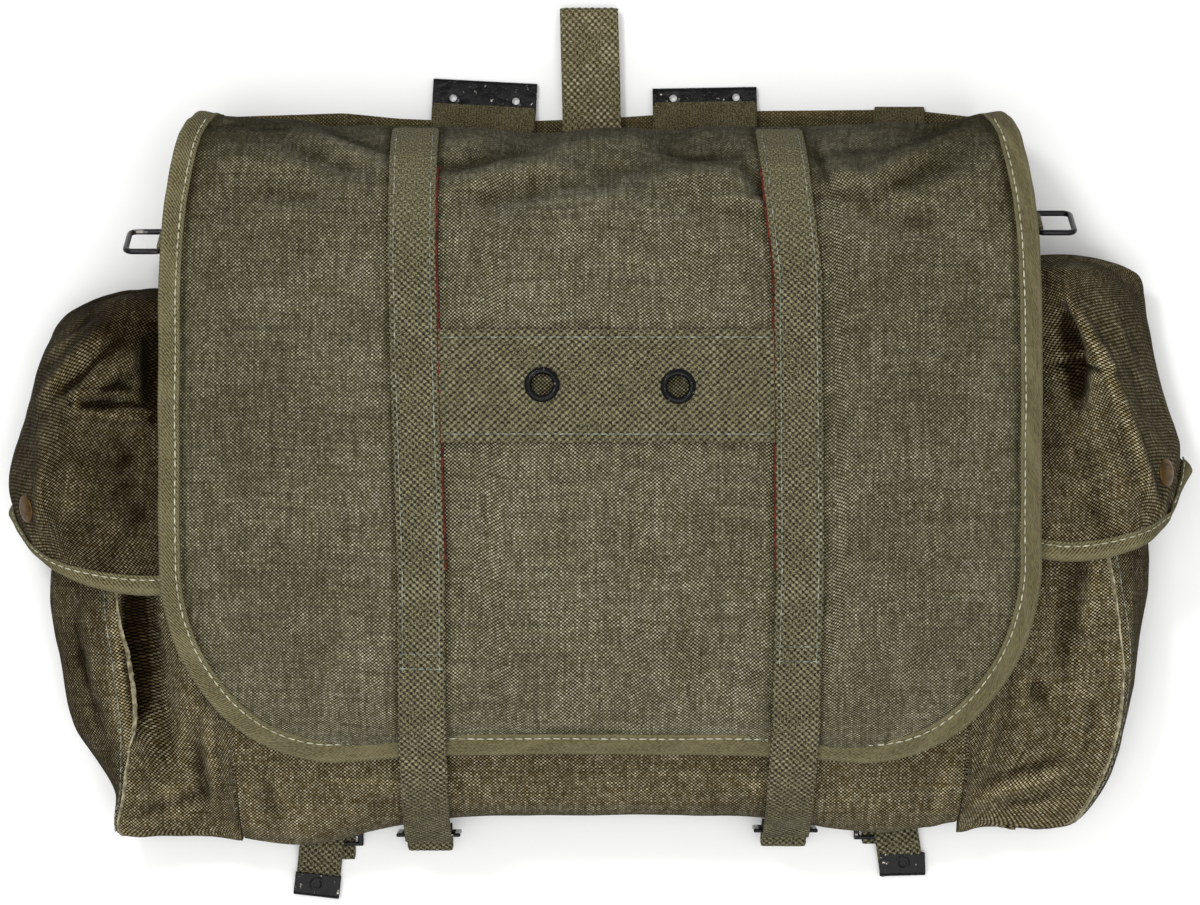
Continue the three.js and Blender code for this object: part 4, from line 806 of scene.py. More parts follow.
# Webbing strips: yarn tops in brick order, as real relief; the ribbed web is worn down to its ribs
webs = {
    "strap": {"yarn": 25 / 14 * mm, "float": 1.68 * mm, "deep": 0.7 * mm, "selvedge": 1.1 * mm, "ribs": 0},
    "wide": {"yarn": 59 / 34 * mm, "float": 1.85 * mm, "deep": 0.6 * mm, "selvedge": 0.9 * mm, "ribs": 0},
    "haul": {"yarn": 31.8 / 18 * mm, "float": 1.88 * mm, "deep": 0.75 * mm, "selvedge": 1.3 * mm, "ribs": 0},
    "ribbed": {"yarn": 1.6 * mm, "float": 2.2 * mm, "deep": 0.35 * mm, "selvedge": 0.8 * mm, "ribs": 0.75},
}
webFine = 3  # grid steps in one yarn and in one float
weave = {
    "brick": 0.85, "rows": 0.15, "spun": (0.72, 0.36), "rib": (0.35, 0.35, 0.2), "seed": 5, "repeat": 512,
    "middle": 0.6, "fall": 0.35, "squeeze": 0.04,  # relief at the face, drop at the selvedge, narrower ends
}


def webRelief(yarns, floats, ribs=0):
    # height of the weave, 0 to 1, where yarns and floats are counted off; tops differ a little in height
    repeat = weave["repeat"]
    chance = np.random.default_rng(weave["seed"]).random((repeat, repeat))
    spun = chance[np.rint(yarns).astype(int) % repeat, np.rint(floats).astype(int) % repeat]
    tops = 0.5 + 0.5 * np.cos(np.pi * yarns) * np.cos(np.pi * floats)
    rows = 0.5 + 0.5 * np.cos(2 * np.pi * floats)
    least, more = weave["spun"]
    tops = np.clip(weave["brick"] * tops + weave["rows"] * rows, 0, 1) * (least + more * spun)
    lowest, high, rough = weave["rib"]
    ribbed = lowest + high * (0.5 + 0.5 * np.cos(2 * np.pi * yarns)) + rough * spun
    return (1 - ribs) * tops + ribs * ribbed


def webStrip(name, path, normals, web, width, thick, node, material="olive webbing", worn=None):
    # path is the middle of the outer face; the strip is a closed loop of a section, with its ends capped
    web, normals = webs[web], np.broadcast_to(normals, path.shape)
    length = lengthsOf(path)
    v = np.linspace(0, length[-1], max(4, round(length[-1] * webFine / web["float"]) + 1))
    path = alongPath(path, length, v)
    normals = unit(alongPath(normals, length, v))
    tangent = unit(np.gradient(path, axis=0))
    across = unit(np.cross(normals, tangent))
    normals = unit(np.cross(tangent, across))
    u = np.linspace(-width / 2, width / 2, round(width / web["yarn"]) * webFine + 1)
    yarns, floats = np.arange(len(u))[None, :] / webFine, np.arange(len(v))[:, None] / webFine
    relief = webRelief(yarns, floats, web["ribs"])
    if worn:
        most, begin, end = worn
        flatter = most * (1 - smoothStep(v / v[-1], begin, end))[:, None]
        relief = relief * (1 - flatter) + 0.5 * flatter
    fall = weave["fall"] * thick * smoothStep(np.abs(u), width / 2 - web["selvedge"], width / 2)
    top = web["deep"] * (relief - weave["middle"]) - fall[None, :]
    under = np.linspace(width / 2, -width / 2, 4)
    reach = np.concatenate([u, under])
    rise = np.concatenate([top, np.full((len(v), len(under)), -thick)], axis=1)
    endNear = np.minimum(v, v[-1] - v)[:, None]
    squeeze = 1 - weave["squeeze"] * (1 - smoothStep(endNear, 0, strap["endRound"]))
    points = path[:, None] + across[:, None] * (reach[None, :] * squeeze)[..., None]
    points = points + normals[:, None] * rise[..., None]
    rows, around = points.shape[:2]
    caps = [list(range(around))[::-1], list(range((rows - 1) * around, rows * around))]
    faces = tubeQuads(rows, around).tolist() + caps
    mesh = bpy.data.meshes.new(name)
    mesh.from_pydata(points.reshape(-1, 3).tolist(), [], faces)
    cut = np.stack(np.broadcast_arrays(reach[None, :], v[:, None]), -1).reshape(-1, 2)
    loops = np.zeros(len(mesh.loops), int)
    mesh.loops.foreach_get("vertex_index", loops)
    mesh.uv_layers.new(name="cut").data.foreach_set("uv", cut[loops].ravel())
    shade = np.concatenate([relief, np.full((rows, len(under)), 0.5)], axis=1)
    data = mesh.attributes.new("relief", "FLOAT", "POINT").data
    data.foreach_set("value", shade.ravel().astype(np.float32))
    closed = bmesh.new()
    closed.from_mesh(mesh)
    bmesh.ops.recalc_face_normals(closed, faces=closed.faces)
    closed.to_mesh(mesh)
    closed.free()
    return finishPiece(addObject(name, mesh, material), [node], sharp=70)


def stripFacing(path):
    # outer side of a strip that lies square to x
    return unit(np.cross(unit(np.gradient(path, axis=0)), [1, 0, 0]))


# Each lid strap is sewn down the lid, hangs free past the cross seam, then threads its slide on the base
strapPaths = {}
for side in sides:
    y = np.linspace(strap["top"], lid["rows"][-1, 0] - 1 * mm, 260)
    row = lidPositionAt(strapX(side, y), y)
    row = np.maximum.accumulate(row)
    base, normal = lidSurface(row, strapX(side, y) / lidHalf(row))
    begin, end, lift = strap["free"]
    height = strap["gap"] + strap["thick"] + lift * smoothStep(-y, -begin, -end)
    height = height - lidPuckers(base[:, 0], base[:, 1])
    onLid = base + normal * height[:, None]
    drop = np.array(strap["drop"])
    dropY = drop[:, 0] * mm + strap["pull"][side] * drop[:, 2]
    down = np.stack([strapX(side, dropY), dropY, drop[:, 1] * mm], -1)
    hanging = splineAt(down, np.linspace(0, len(down) - 1, 200))
    path = np.concatenate([onLid[onLid[:, 1] > down[0, 1] + 6 * mm], hanging])
    tilt = np.zeros_like(path)
    tilt[:, 0] = np.interp(-path[:, 1], -y, normal[:, 0]) * (path[:, 2] > strap["tiltAbove"])
    facing = unit(stripFacing(path) + tilt)
    strapPaths[side] = (path, facing)
    webStrip(f"strap_{side}", path, facing, "strap", strap["width"], strap["thick"], f"lid_strap_{side}",
             worn=strap["worn"])
print("straps:", [len(path) for path, facing in strapPaths.values()])


# Gear web: wide webbing sewn across between the straps, with two eyelets
eyeletProfile = [(5.6, -2), (6.4, -2), (6.4, 0.1), (7.4, 0.35), (9.0, 0.35), (9.15, 0.7), (8.7, 1.15),
                 (7.9, 1.6), (7.1, 1.75), (6.3, 1.5), (5.8, 0.9), (5.6, 0)]
eyeletHole = 6.9 * mm
web = webs["wide"]
webY = np.linspace(gearWeb["top"], gearWeb["bottom"], gearWeb["yarns"] * webFine + 1)
webT = np.linspace(0, 1, round(gearWeb["long"] * webFine / web["float"]))
edgeLeft = strapX("left", webY) + strap["width"] / 2 + gearWeb["gap"]
edgeRight = strapX("right", webY) - strap["width"] / 2 - gearWeb["gap"]
webX = edgeLeft[:, None] + (edgeRight - edgeLeft)[:, None] * webT[None, :]
webYs = np.broadcast_to(webY[:, None], webX.shape)
webBase, webNormal = lidAt(webX, webYs)
webUp = strap["gap"] + strap["thick"]
relief = webRelief(np.arange(len(webY))[:, None] / webFine, np.arange(len(webT))[None, :] / webFine)
near = np.minimum(gearWeb["top"] - webYs, webYs - gearWeb["bottom"])
fall = gearWeb["fall"] * strap["thick"] * (1 - smoothStep(near, 0, web["selvedge"]))
webPoints = webBase + webNormal * (webUp + web["deep"] * (relief - weave["middle"]) - fall)[..., None]
middleX, middleY = ((grid[:-1, :-1] + grid[1:, 1:]) / 2 for grid in (webX, webYs))
keep = np.ones(middleX.shape, bool)
for x, y in eyelets.values():
    keep &= np.hypot(middleX - x, middleY - y) > eyeletHole
gearObject = gridObject("gear_web_strip", webPoints, "olive webbing", strap["thick"] * gearWeb["wall"],
                        values={"relief": relief}, keep=keep)
finishPiece(gearObject, ["gear_web"], sharp=70)


def latheObject(name, profile, place, axis, material, closed=False, segments=40, finer=3):
    # profile of radius and height in mm, turned about the axis; a closed profile makes a ring
    profile = np.array(profile, float) * mm
    if closed:
        profile = np.concatenate([profile[-2:], profile, profile[:3]])
        at = np.linspace(2, len(profile) - 3, (len(profile) - 5) * finer + 1)[:-1]
    else:
        at = np.linspace(0, len(profile) - 1, (len(profile) - 1) * finer + 1)
    radius, height = np.maximum(splineAt(profile[:, 0], at), 0), splineAt(profile[:, 1], at)
    angle = np.linspace(0, 2 * np.pi, segments, endpoint=False)
    turns = radius[:, None] * np.cos(angle), radius[:, None] * np.sin(angle), height[:, None]
    points = np.stack(np.broadcast_arrays(*turns), -1)
    spin = Vector((0, 0, 1)).rotation_difference(Vector(axis)).to_matrix().to_4x4()
    toPlace = Matrix.Translation(Vector(place)) @ spin
    placed = np.array([toPlace @ Vector(p) for p in points.reshape(-1, 3).tolist()])
    return addTube(name, placed.reshape(points.shape), closed, material)


for side, (x, y) in eyelets.items():
    spot, normal = lidAt(x, y)
    middle = spot + normal * webUp
    obj = latheObject(f"eyelet_{side}", eyeletProfile, middle, normal, "japanned steel", closed=True)
    finishPiece(obj, [f"gear_eyelet_{side}"])
print("gear web and eyelets")


# Front panel: domed, with a base that turns under and sags between the straps
front = {
    "rows": np.array([  # y, half, seam z, crown z
        (148, 194, 64, 78), (106, 196, 80, 98), (0, 196, 86, 112), (-105, 195, 84, 108), (-158, 194, 72, 88),
        (-187, 193, 53, 65), (-196, 192, 29, 33), (-191, 192, 4.2, 4.2)]) * mm,
    "crown": 2.6, "sags": [(-166, 55, 16), (150, 45, 9.5)], "sagRow": 6, "wall": 1.6 * mm, "cell": 3.4 * mm,
    "drawn": 0.45,  # the base is pulled tight, which draws its threads apart
    "sewn": (0.04, 0.3), "dirtAndShade": 0.12, "lowDarkening": 0.35, "lowBand": (-40 * mm, -5 * mm),
    "patches": (0.12, 30 * mm), "crest": 0.8 * mm,
    "folds": [
        (-196, -160, -186, -205, 4, 2.2), (-180, -165, -172, -205, 5, -1.6), (186, -160, 180, -200, 4, 2),
        (-150, -170, -60, -185, 8, 1.6), (60, -172, 150, -186, 8, 1.4), (-40, -168, 40, -172, 9, -1.2),
    ],
    "undulation": ((0.7 * mm, 38 * mm), (0.25 * mm, 14 * mm)),
}


def frontSurface(position, fraction):
    position, fraction = matched(position, fraction)
    y, half, seamZ, crownZ = (splineAt(column, position) for column in front["rows"].T)
    x = fraction * half
    z = crownZ + (seamZ - crownZ) * np.abs(fraction) ** front["crown"]
    sag = sum(drop * mm * np.exp(-((x / mm - middle) / width) ** 2) for middle, width, drop in front["sags"])
    row = front["sagRow"]
    share = smoothStep(2 - np.abs(position - row), 0, 2) * np.where(position > row, 1 - (position - row), 1)
    return np.stack([x, y - share * sag, z], -1)


def liftSurface(points, normals, piece, seed, fixed):
    # folds and unevenness, fading to nothing where the cloth is sewn down
    lift = foldHeight(piece["folds"], points[..., 0], points[..., 1])
    for k, (height, size) in enumerate(piece["undulation"]):
        lift = lift + height * softNoise(points, size, seed + k)
    return points + normals * (lift * fixed)[..., None]


frontLast = len(front["rows"]) - 1
frontRows = evenPositions(lambda p: frontSurface(p, np.zeros_like(p)), 0, frontLast, front["cell"])
frontColumns = np.linspace(-1, 1, round(2 * front["rows"][:, 1].max() / front["cell"]))
frontPoints = frontSurface(frontRows[:, None], frontColumns[None, :])
frontNormals = gridNormals(frontPoints, bagMiddle)
sewnSide, sewnEnd = front["sewn"]
hold = smoothStep(1 - np.abs(frontColumns), 0, sewnSide)[None, :]
hold = hold * smoothStep(frontLast - frontRows, 0, sewnEnd)[:, None]
frontPoints = liftSurface(frontPoints, frontNormals, front, 20, hold)
# darker overall and towards the floor, with random patches
frontDarkening = front["dirtAndShade"] + front["lowDarkening"] * smoothStep(-frontPoints[..., 2], *front["lowBand"])
share, size = front["patches"]
frontDarkening = np.clip(frontDarkening + share * softNoise(frontPoints, size, 5), 0, 1)
frontCrest = crestOf(frontPoints, gridNormals(frontPoints, bagMiddle), 2, front["crest"])
frontCloth = gridObject("front_cloth", frontPoints, "brown cotton duck", front["wall"],
                        values={"crest": frontCrest, "soilAndShade": frontDarkening},
                        flat=frontPoints * [1, 1, front["drawn"]])
finishPiece(frontCloth, ["front_panel"])


# Side walls: plain gussets between the front and the back, behind the pockets
gusset = {
    "setOff": 2.1 * mm, "drop": 1 * mm, "backX": 211 * mm, "backZ": 2.15 * mm, "bulge": 9 * mm,
    "leastZ": 2.75 * mm, "leastY": -189 * mm, "wall": 1.6 * mm, "cells": (72, 26), "soilAndShade": 0.3,
}
gussetSheets = {}
for side, sign in sides.items():
    rows, columns = gusset["cells"]
    seam = frontSurface(np.linspace(0, frontLast, rows), np.full(rows, float(sign)))
    seamX, seamY, seamZ = seam.T[..., None]
    across = np.linspace(0, 1, columns)[None, :]
    y = seamY + (np.maximum(seamY, gusset["leastY"]) - seamY) * across
    near = np.abs(seamX) + gusset["setOff"]
    out = near + (gusset["backX"] - near) * across + gusset["bulge"] * np.sin(np.pi * across)
    high = np.maximum(seamZ - gusset["drop"], gusset["leastZ"])
    points = np.stack(np.broadcast_arrays(sign * out, y, high + (gusset["backZ"] - high) * across), -1)
    gussetSheets[side] = gridObject(f"gusset_{side}", points, "brown cotton duck", gusset["wall"],
                                    values={"crest": 0.5, "soilAndShade": gusset["soilAndShade"]})
    finishPiece(gussetSheets[side], [f"side_panel_{side}"])


# Back panel: flat on the floor, its top margin showing behind the lid
back = {
    "half": 214 * mm, "bottom": -193 * mm, "corner": 26 * mm, "wall": 1.6 * mm, "tall": 370 * mm,
    "taper": (10 * mm, 250 * mm), "cells": (64, 100), "hem": 2.5 * mm, "soilAndShade": 0.1,
    "top": np.array([(-204, 184), (-140, 186), (-110, 183), (-60, 181), (0, 183), (60, 187), (168, 188),
                     (204, 184)]) * mm,
}
turn = back["corner"] * (1 - np.cos(np.linspace(0, np.pi / 2, 12))) / back["tall"]
rise = np.sort(np.clip(np.concatenate([turn, np.linspace(0.09, 1, back["cells"][0])]), 0, 1))
rise = rise[np.concatenate([[True], np.diff(rise) > 1e-4])]
columns = np.linspace(-1, 1, back["cells"][1])
high = rise * back["tall"]
corner = np.clip(1 - high / back["corner"], 0, 1)
narrow, narrowFrom = back["taper"]
halfAt = back["half"] - back["corner"] * (1 - np.sqrt(1 - corner ** 2))
halfAt = halfAt - narrow * smoothStep(high, narrowFrom, back["tall"])
backX = columns[None, :] * halfAt[:, None]
topY = np.interp(backX, back["top"][:, 0], back["top"][:, 1])
backY = back["bottom"] + (topY - back["bottom"]) * rise[:, None]
backPoints = np.stack([backX, backY, np.full_like(backX, back["wall"])], -1)
edgeNear = np.minimum((1 - rise)[:, None] * back["tall"], (1 - np.abs(columns))[None, :] * back["half"])
backCrest = np.clip(0.5 + 0.5 * (1 - smoothStep(edgeNear, 0, back["hem"])), 0, 1)
backCloth = gridObject("back_cloth", backPoints, "tight cotton duck", back["wall"], straightUp,
                       {"crest": backCrest, "soilAndShade": back["soilAndShade"]})
finishPiece(backCloth, ["back_panel"])
print("front, gussets and back")


# Side pockets: each row is y, then out and height of seam, valley, fin, belly, foot and inner edge, in mm
pockets = {
    "left": {"soilAndShade": 0.2, "rows": [
        (62, (200, 80), (232, 40), (256, 40), (280, 26), (276, 4), (222, 2.6)),
        (-10, (200, 82), (234, 46), (258, 48), (288, 30), (282, 3), (219, 2.6)),
        (-72, (200, 85), (240, 60), (261, 68), (299, 35), (288, 3), (218, 2.6)),
        (-112, (199, 83), (240, 56), (257, 67), (293, 34), (283, 3), (217, 2.6)),
        (-150, (199, 75), (236, 50), (254, 61), (285, 32), (276, 3), (217, 2.6)),
        (-182, (198.5, 58), (230, 44), (257, 52), (266, 28), (257, 3), (217, 2.6)),
        (-207, (198, 38), (224, 37), (260, 44), (258, 25), (250, 4), (218, 3.2)),
        (-208, (197, 33), (214, 33), (240, 35), (240, 22), (236, 6), (219, 4)),
        (-201, (197.5, 29), (207, 29), (217, 28), (223, 19), (223, 9), (221, 5)),
        (-193, (197.5, 29), (204, 27), (210, 22), (213, 16), (214, 10), (213, 5))],
        "folds": [
            (-250, -50, -249, -150, 6.5, -20), (-244, -100, -238, -175, 8, -5),
            (-228, -76, -222, -150, 8, 2.5), (-212, -140, -208, -190, 4, 2.6),
            (-222, -150, -217, -200, 5, -3), (-275, -76, -272, -140, 7, 2.0),
            (-285, -90, -268, -165, 5, -2), (-240, -170, -228, -204, 6, 2.4),
            (-252, -196, -215, -186, 5, -2.2),
        ]},
    "right": {"soilAndShade": 0.12, "rows": [
        (76, (200, 80), (238, 40), (260, 40), (276, 26), (272, 4), (222, 2.6)),
        (0, (200, 82), (240, 46), (264, 48), (288, 30), (282, 3), (219, 2.6)),
        (-55, (200, 85), (244, 58), (273, 67), (299, 35), (289, 3), (218, 2.6)),
        (-105, (199, 83), (250, 56), (281, 61), (294, 34), (284, 3), (217, 2.6)),
        (-147, (199, 75), (247, 50), (281, 51), (286, 30), (277, 3), (217, 2.6)),
        (-180, (198.5, 58), (234, 43), (271, 41), (275, 26), (264, 3), (217, 2.6)),
        (-202, (198, 36), (224, 34), (257, 35), (260, 22), (250, 4), (218, 3.2)),
        (-205, (197, 32), (214, 32), (240, 32), (241, 20), (236, 6), (219, 4)),
        (-200, (197.5, 29), (207, 29), (217, 28), (223, 19), (223, 9), (221, 5)),
        (-193, (197.5, 29), (204, 27), (210, 22), (213, 16), (214, 10), (213, 5))],
        "folds": [
            (266, -50, 264, -104, 5, 2.6), (256, -50, 252, -120, 6, -4), (238, -121, 240, -138, 6, -3.5),
            (224, -90, 222, -160, 8, -2), (200, -188, 256, -172, 4, 2.2), (205, -181, 250, -166, 4, -2),
            (215, -196, 252, -184, 4, -2), (270, -120, 262, -170, 5, -2), (212, -140, 206, -180, 4, 2),
            (286, -70, 283, -130, 4, 1.4),
        ]},
}
pocketCloth = {
    "wall": 1.6 * mm, "undulation": ((1.1 * mm, 30 * mm), (0.4 * mm, 11 * mm)), "rowStep": 2.5 * mm,
    "grow": 0.03, "cap": 5 * mm, "every": 2, "loose": 0.95, "seamIn": 4.5, "crest": 0.55 * mm,
    "columns": np.linspace(0, 5, 112), "core": (245, -70, 30),
    "sewnSeam": (0, 0.35), "sewnFoot": (3.2, 4), "finShade": (2.0, 2.4),  # column positions
    "stitch": (2.16, 1.6, 6.0), "fin": (2.0, 1.4, 6.3),  # column, first row and last row
    # darkening: towards the floor; painted shadow beside the fin; painted shade in the deep folds
    "lowDarkening": 0.2, "lowBand": (-35 * mm, -5 * mm), "finShadow": 0.4, "foldShade": 0.7,
    "patches": (0.2, 26 * mm, 6),  # share, size and seed
}


def sectionTable(rows, sign, seamIn):
    # the seam edge reaches a little way over the front panel's edge
    table = []
    for y, *section in rows:
        points = [(sign * out, y, high) for out, high in section]
        out, high = section[0]
        points[0] = (sign * (out - seamIn), y, high + 0.6)
        table.append(points)
    return np.array(table, float) * mm


def evenRows(table, step):
    # rows a step apart along the middle of a table of sections
    return evenPositions(lambda p: splineAt(table[:, 2], p), 0, len(table) - 1, step)


def foldShade(folds, points, most):
    # painted shade in the deep folds
    return np.clip(-foldHeight(folds, points[..., 0], points[..., 1]) / (10 * mm) - 0.6, 0, most)


def loosen(points, core, piece, seed, hold, stiff=1.0):
    # folds, unevenness and settling, fading out where the sheet is sewn down
    points = liftSurface(points, gridNormals(points, core), piece, seed, hold)
    return points + settle(points, 1 - piece["loose"] * hold * stiff, piece)


def bagSheet(name, points, smooth, core, piece, soilAndShade, node):
    share, size, seed = piece["patches"]
    soilAndShade = soilAndShade + share * softNoise(points, size, seed) + foldShade(piece["folds"], points, piece["foldShade"])
    crest = crestOf(points, gridNormals(points, core), 2, piece["crest"])
    values = {"crest": crest, "soilAndShade": np.clip(soilAndShade, 0, 1)}
    obj = gridObject(name, points, "brown cotton duck", piece["wall"], points - core, values, flat=smooth)
    return finishPiece(obj, [node])


pocketGrids, pocketSheets = {}, {}
for side, sign in sides.items():
    piece = pockets[side] | pocketCloth
    columns = piece["columns"]
    table = sectionTable(piece["rows"], sign, piece["seamIn"])
    rowsAt = evenRows(table, piece["rowStep"])
    smooth = splineGrid(table, rowsAt, columns)
    core = np.array(piece["core"]) * [sign, 1, 1] * mm
    hold = smoothStep(columns, *piece["sewnSeam"]) * (1 - smoothStep(columns, *piece["sewnFoot"]))
    hold = hold[None, :] * smoothStep(len(table) - 1 - rowsAt, 0, 1)[:, None]
    points = loosen(smooth, core, piece, 30 + 5 * sign, hold)
    pocketGrids[side] = (points, gridNormals(points, core), rowsAt)
    # darker on the left pocket than the right, as painted shade, and towards the floor; painted shadow beside
    # the fin
    soilAndShade = piece["soilAndShade"] + piece["lowDarkening"] * smoothStep(-points[..., 2], *piece["lowBand"])
    soilAndShade = soilAndShade + piece["finShadow"] * smoothStep(columns, *piece["finShade"])[None, :]
    pocketSheets[side] = bagSheet(f"pocket_cloth_{side}", points, smooth, core, piece, soilAndShade,
                                  f"pocket_{side}")
print("pockets:", [grid[0].shape[:2] for grid in pocketGrids.values()])


# Pocket flaps: rows from the heel to the hem; out, y and z in mm of tuck, cheek, ridge, belly and foot
flaps = {
    "left": {"soilAndShade": 0.65, "topShade": 0.25, "rows": [
        [(212.6, 80, 6), (240, 85, 6), (263, 83, 6), (284, 74, 6), (290, 66, 6)],
        [(215.4, 85, 36), (240, 88, 37), (268, 85, 35), (290, 75, 27), (295, 65, 9)],
        [(206.4, 83, 71), (237, 84, 62), (268, 80, 61), (295, 68, 40), (298, 59, 9)],
        [(201.5, 62, 85.3), (236, 60, 66), (272, 58, 78), (303, 54, 43), (299, 47, 8)],
        [(201.5, 20, 86), (240, 18, 72), (284, 14, 79), (312, 10, 43), (305, 10, 9)],
        [(201.5, -30, 87.4), (242, -32, 77), (292, -28, 77), (319, -20, 42), (314, -16, 14)],
        [(203, -69, 89), (240, -74, 80), (276, -68, 76), (302, -53, 57), (319.5, -34, 26)]],
        "folds": [
            (-240, 66, -240, 22, 6.5, -15), (-283, 27, -246, 55, 5.5, 5), (-304, 24, -262, 69, 6, 5.5),
            (-293, 30, -258, 60, 4, -4), (-281, 31.5, -246, 30.5, 2.2, 4), (-281, 27, -245, 27, 2.6, -4.5),
            (-280, 24, -277, 29, 2.4, 2.5), (-294, 62, -262, 81, 4.5, -4), (-298, 52, -256, 88, 4, 2.5),
            (-256, 10, -250, -40, 9, -3.5), (-276, 2, -288, -44, 9, 2.5), (-226, 20, -228, -46, 8, 2.5),
            (-297, 14, -300, -48, 5, 3.5), (-226, 84, -222, 40, 8, -5),
        ]},
    "right": {"soilAndShade": 0.34, "topShade": 0.1, "rows": [
        [(212.6, 98, 6), (240, 103, 6), (262, 102, 6), (280, 95, 6), (285, 86, 6)],
        [(215.4, 102, 36), (242, 107, 37), (268, 105, 37), (290, 98, 28), (293, 86, 9)],
        [(206.4, 100, 71), (234, 101, 63), (256, 98, 66), (288, 89, 40), (292, 78, 9)],
        [(201.5, 78, 85.3), (234, 75, 68), (257, 74, 79), (292, 72, 44), (292, 64, 8)],
        [(201.5, 36, 86), (240, 34, 64), (276, 32, 80), (302, 28, 43), (300, 28, 9)],
        [(201.5, -10, 87.4), (246, -13, 77), (289, -8, 78), (313, 0, 42), (311, 4, 14)],
        [(203, -47, 89), (246, -56, 80), (284, -50, 75), (303, -35, 55), (320.2, -9.4, 26)]],
        "folds": [
            (247, 78, 256, 28, 5.5, -18), (243, 47, 268, 44.5, 2.4, -4.5), (243, 50.5, 266, 48.5, 2.2, 2.5),
            (269, 46, 273, 45, 2.6, 3), (250, 82, 271, 46, 3.6, 4.5), (268, 52, 299, -34, 4.2, 5),
            (276, 72, 298, 26, 3, 2.2), (283, 58, 301, 12, 5, -2.5), (258, 12, 268, -40, 8, -4),
            (236, 20, 242, -44, 8, 3), (222, 60, 220, -30, 7, -2.5),
        ]},
}
flapCloth = {
    "wall": 1.6 * mm, "undulation": ((1.2 * mm, 27 * mm), (0.45 * mm, 10 * mm)), "rowStep": 2 * mm,
    "grow": 0.035, "cap": 5.5 * mm, "every": 2, "loose": 0.95, "crest": 0.55 * mm,
    "columns": np.linspace(0, 4, 100), "core": (245, 10, 30),
    "sewnSeam": (0, 0.3), "sewnHeel": (0.6, 1.6), "stiffHem": (0.93, 5.3, 5.9), "stiffFoot": (0.8, 3.6, 4),
    "topBand": (30 * mm, 90 * mm), "foldShade": 0.6, "patches": (0.25, 22 * mm, 8),
}
flapGrids, flapSheets = {}, {}
for side, sign in sides.items():
    piece = flaps[side] | flapCloth
    columns = piece["columns"]
    table = np.array(piece["rows"], float) * [sign, 1, 1] * mm
    rowsAt = evenRows(table, piece["rowStep"])
    smooth = splineGrid(table, rowsAt, columns)
    core = np.array(piece["core"]) * [sign, 1, 1] * mm
    hold = smoothStep(columns, *piece["sewnSeam"])[None, :] * smoothStep(rowsAt, *piece["sewnHeel"])[:, None]
    stiff, begin, end = piece["stiffHem"]
    hem = 1 - stiff * smoothStep(rowsAt, begin, end)[:, None]
    stiff, begin, end = piece["stiffFoot"]
    hem = hem * (1 - stiff * smoothStep(columns, begin, end))[None, :]
    points = loosen(smooth, core, piece, 50 + 5 * sign, hold, hem)
    normals = gridNormals(points, core)
    # painted shade: heavier on the left flap, and towards the top under the lid's edge
    soilAndShade = piece["soilAndShade"] + piece["topShade"] * smoothStep(points[..., 1], *piece["topBand"])
    flapSheets[side] = bagSheet(f"flap_cloth_{side}", points, smooth, core, piece, soilAndShade,
                                f"pocket_flap_{side}")
    edge, edgeNormal = points[-1], normals[-1]
    inward = unit(points[-5] - points[-1])
    inward = unit(inward - edgeNormal * (inward * edgeNormal).sum(-1, keepdims=True))
    flapGrids[side] = (points, normals, rowsAt, edge, edgeNormal, inward)
    bindEdge(f"flap_tape_{side}", edge, edgeNormal, inward, binding["flap"], f"pocket_binding_{side}")
print("flaps:", [grid[0].shape[:2] for grid in flapGrids.values()])


# Press studs on the flaps: capped brass
stud = {
    "row": 5.15, "column": 2.5, "lift": 0.35 * mm,
    "profile": [(0, 2.62), (2.2, 2.6), (4.2, 2.4), (5.6, 1.95), (6.5, 1.5), (7.2, 1.1), (7.5, 0.6),
                (7.3, 0.15), (6.8, 0), (0, 0)],
}
for side in sides:
    points, normals, rowsAt = flapGrids[side][:3]
    i = int(np.argmin(np.abs(rowsAt - stud["row"])))
    j = int(np.argmin(np.abs(flapCloth["columns"] - stud["column"])))
    normal = unit(normals[i - 3:i + 4, j - 3:j + 4].mean((0, 1)))
    middle = points[i, j] + normal * stud["lift"]
    obj = latheObject(f"stud_{side}", stud["profile"], middle, normal, "tarnished brass", finer=2)
    finishPiece(obj, [f"pocket_stud_{side}"])


# Rounded-rectangle wire rings on the bag's sides, each through a folded keeper of webbing
ring = {"bar": 28 * mm, "depth": 20 * mm, "wire": 1.55 * mm, "corner": 4 * mm, "lean": math.radians(25),
        "x": 233 * mm, "z": 52 * mm, "y": {"left": 113 * mm, "right": 123 * mm}}
keeper = {"width": 19.6 * mm, "thick": 1.8 * mm, "grip": 3.7, "tail": (16.6, 15, 8), "mouth": 6.5}


def ringFrame(side, local):
    # local out, up and along the bar, leant about x and moved to the ring's bar
    local = np.asarray(local, float)
    out, up, along = sides[side] * local[..., 0], local[..., 1], local[..., 2]
    cos, sin = math.cos(ring["lean"]), math.sin(ring["lean"])
    place = np.array([sides[side] * ring["x"], ring["y"][side], ring["z"]])
    return np.stack([out, up * cos - along * sin, up * sin + along * cos], -1) + place


def roundedLoop(width, height, corner, steps=9):
    # loop from the bar at out 0 round to out = height, in out and along
    loop = []
    far, side = height - corner, width / 2 - corner
    for k, (out, along) in enumerate([(far, side), (corner, side), (corner, -side), (far, -side)]):
        for angle in np.linspace(k * np.pi / 2, (k + 1) * np.pi / 2, steps):
            loop.append((out + corner * math.cos(angle), along + corner * math.sin(angle)))
    return np.array(loop)


def tubeLoop(name, path, radius, flat, material, around=14):
    # closed wire round a flat loop; flat is the direction square to the loop
    ahead = unit(np.roll(path, -1, axis=0) - np.roll(path, 1, axis=0))
    out = np.cross(ahead, flat)
    angle = np.linspace(0, 2 * np.pi, around, endpoint=False)
    turn = np.cos(angle)[None, :, None] * out[:, None] + np.sin(angle)[None, :, None] * flat
    return addTube(name, path[:, None] + radius * turn, True, material)


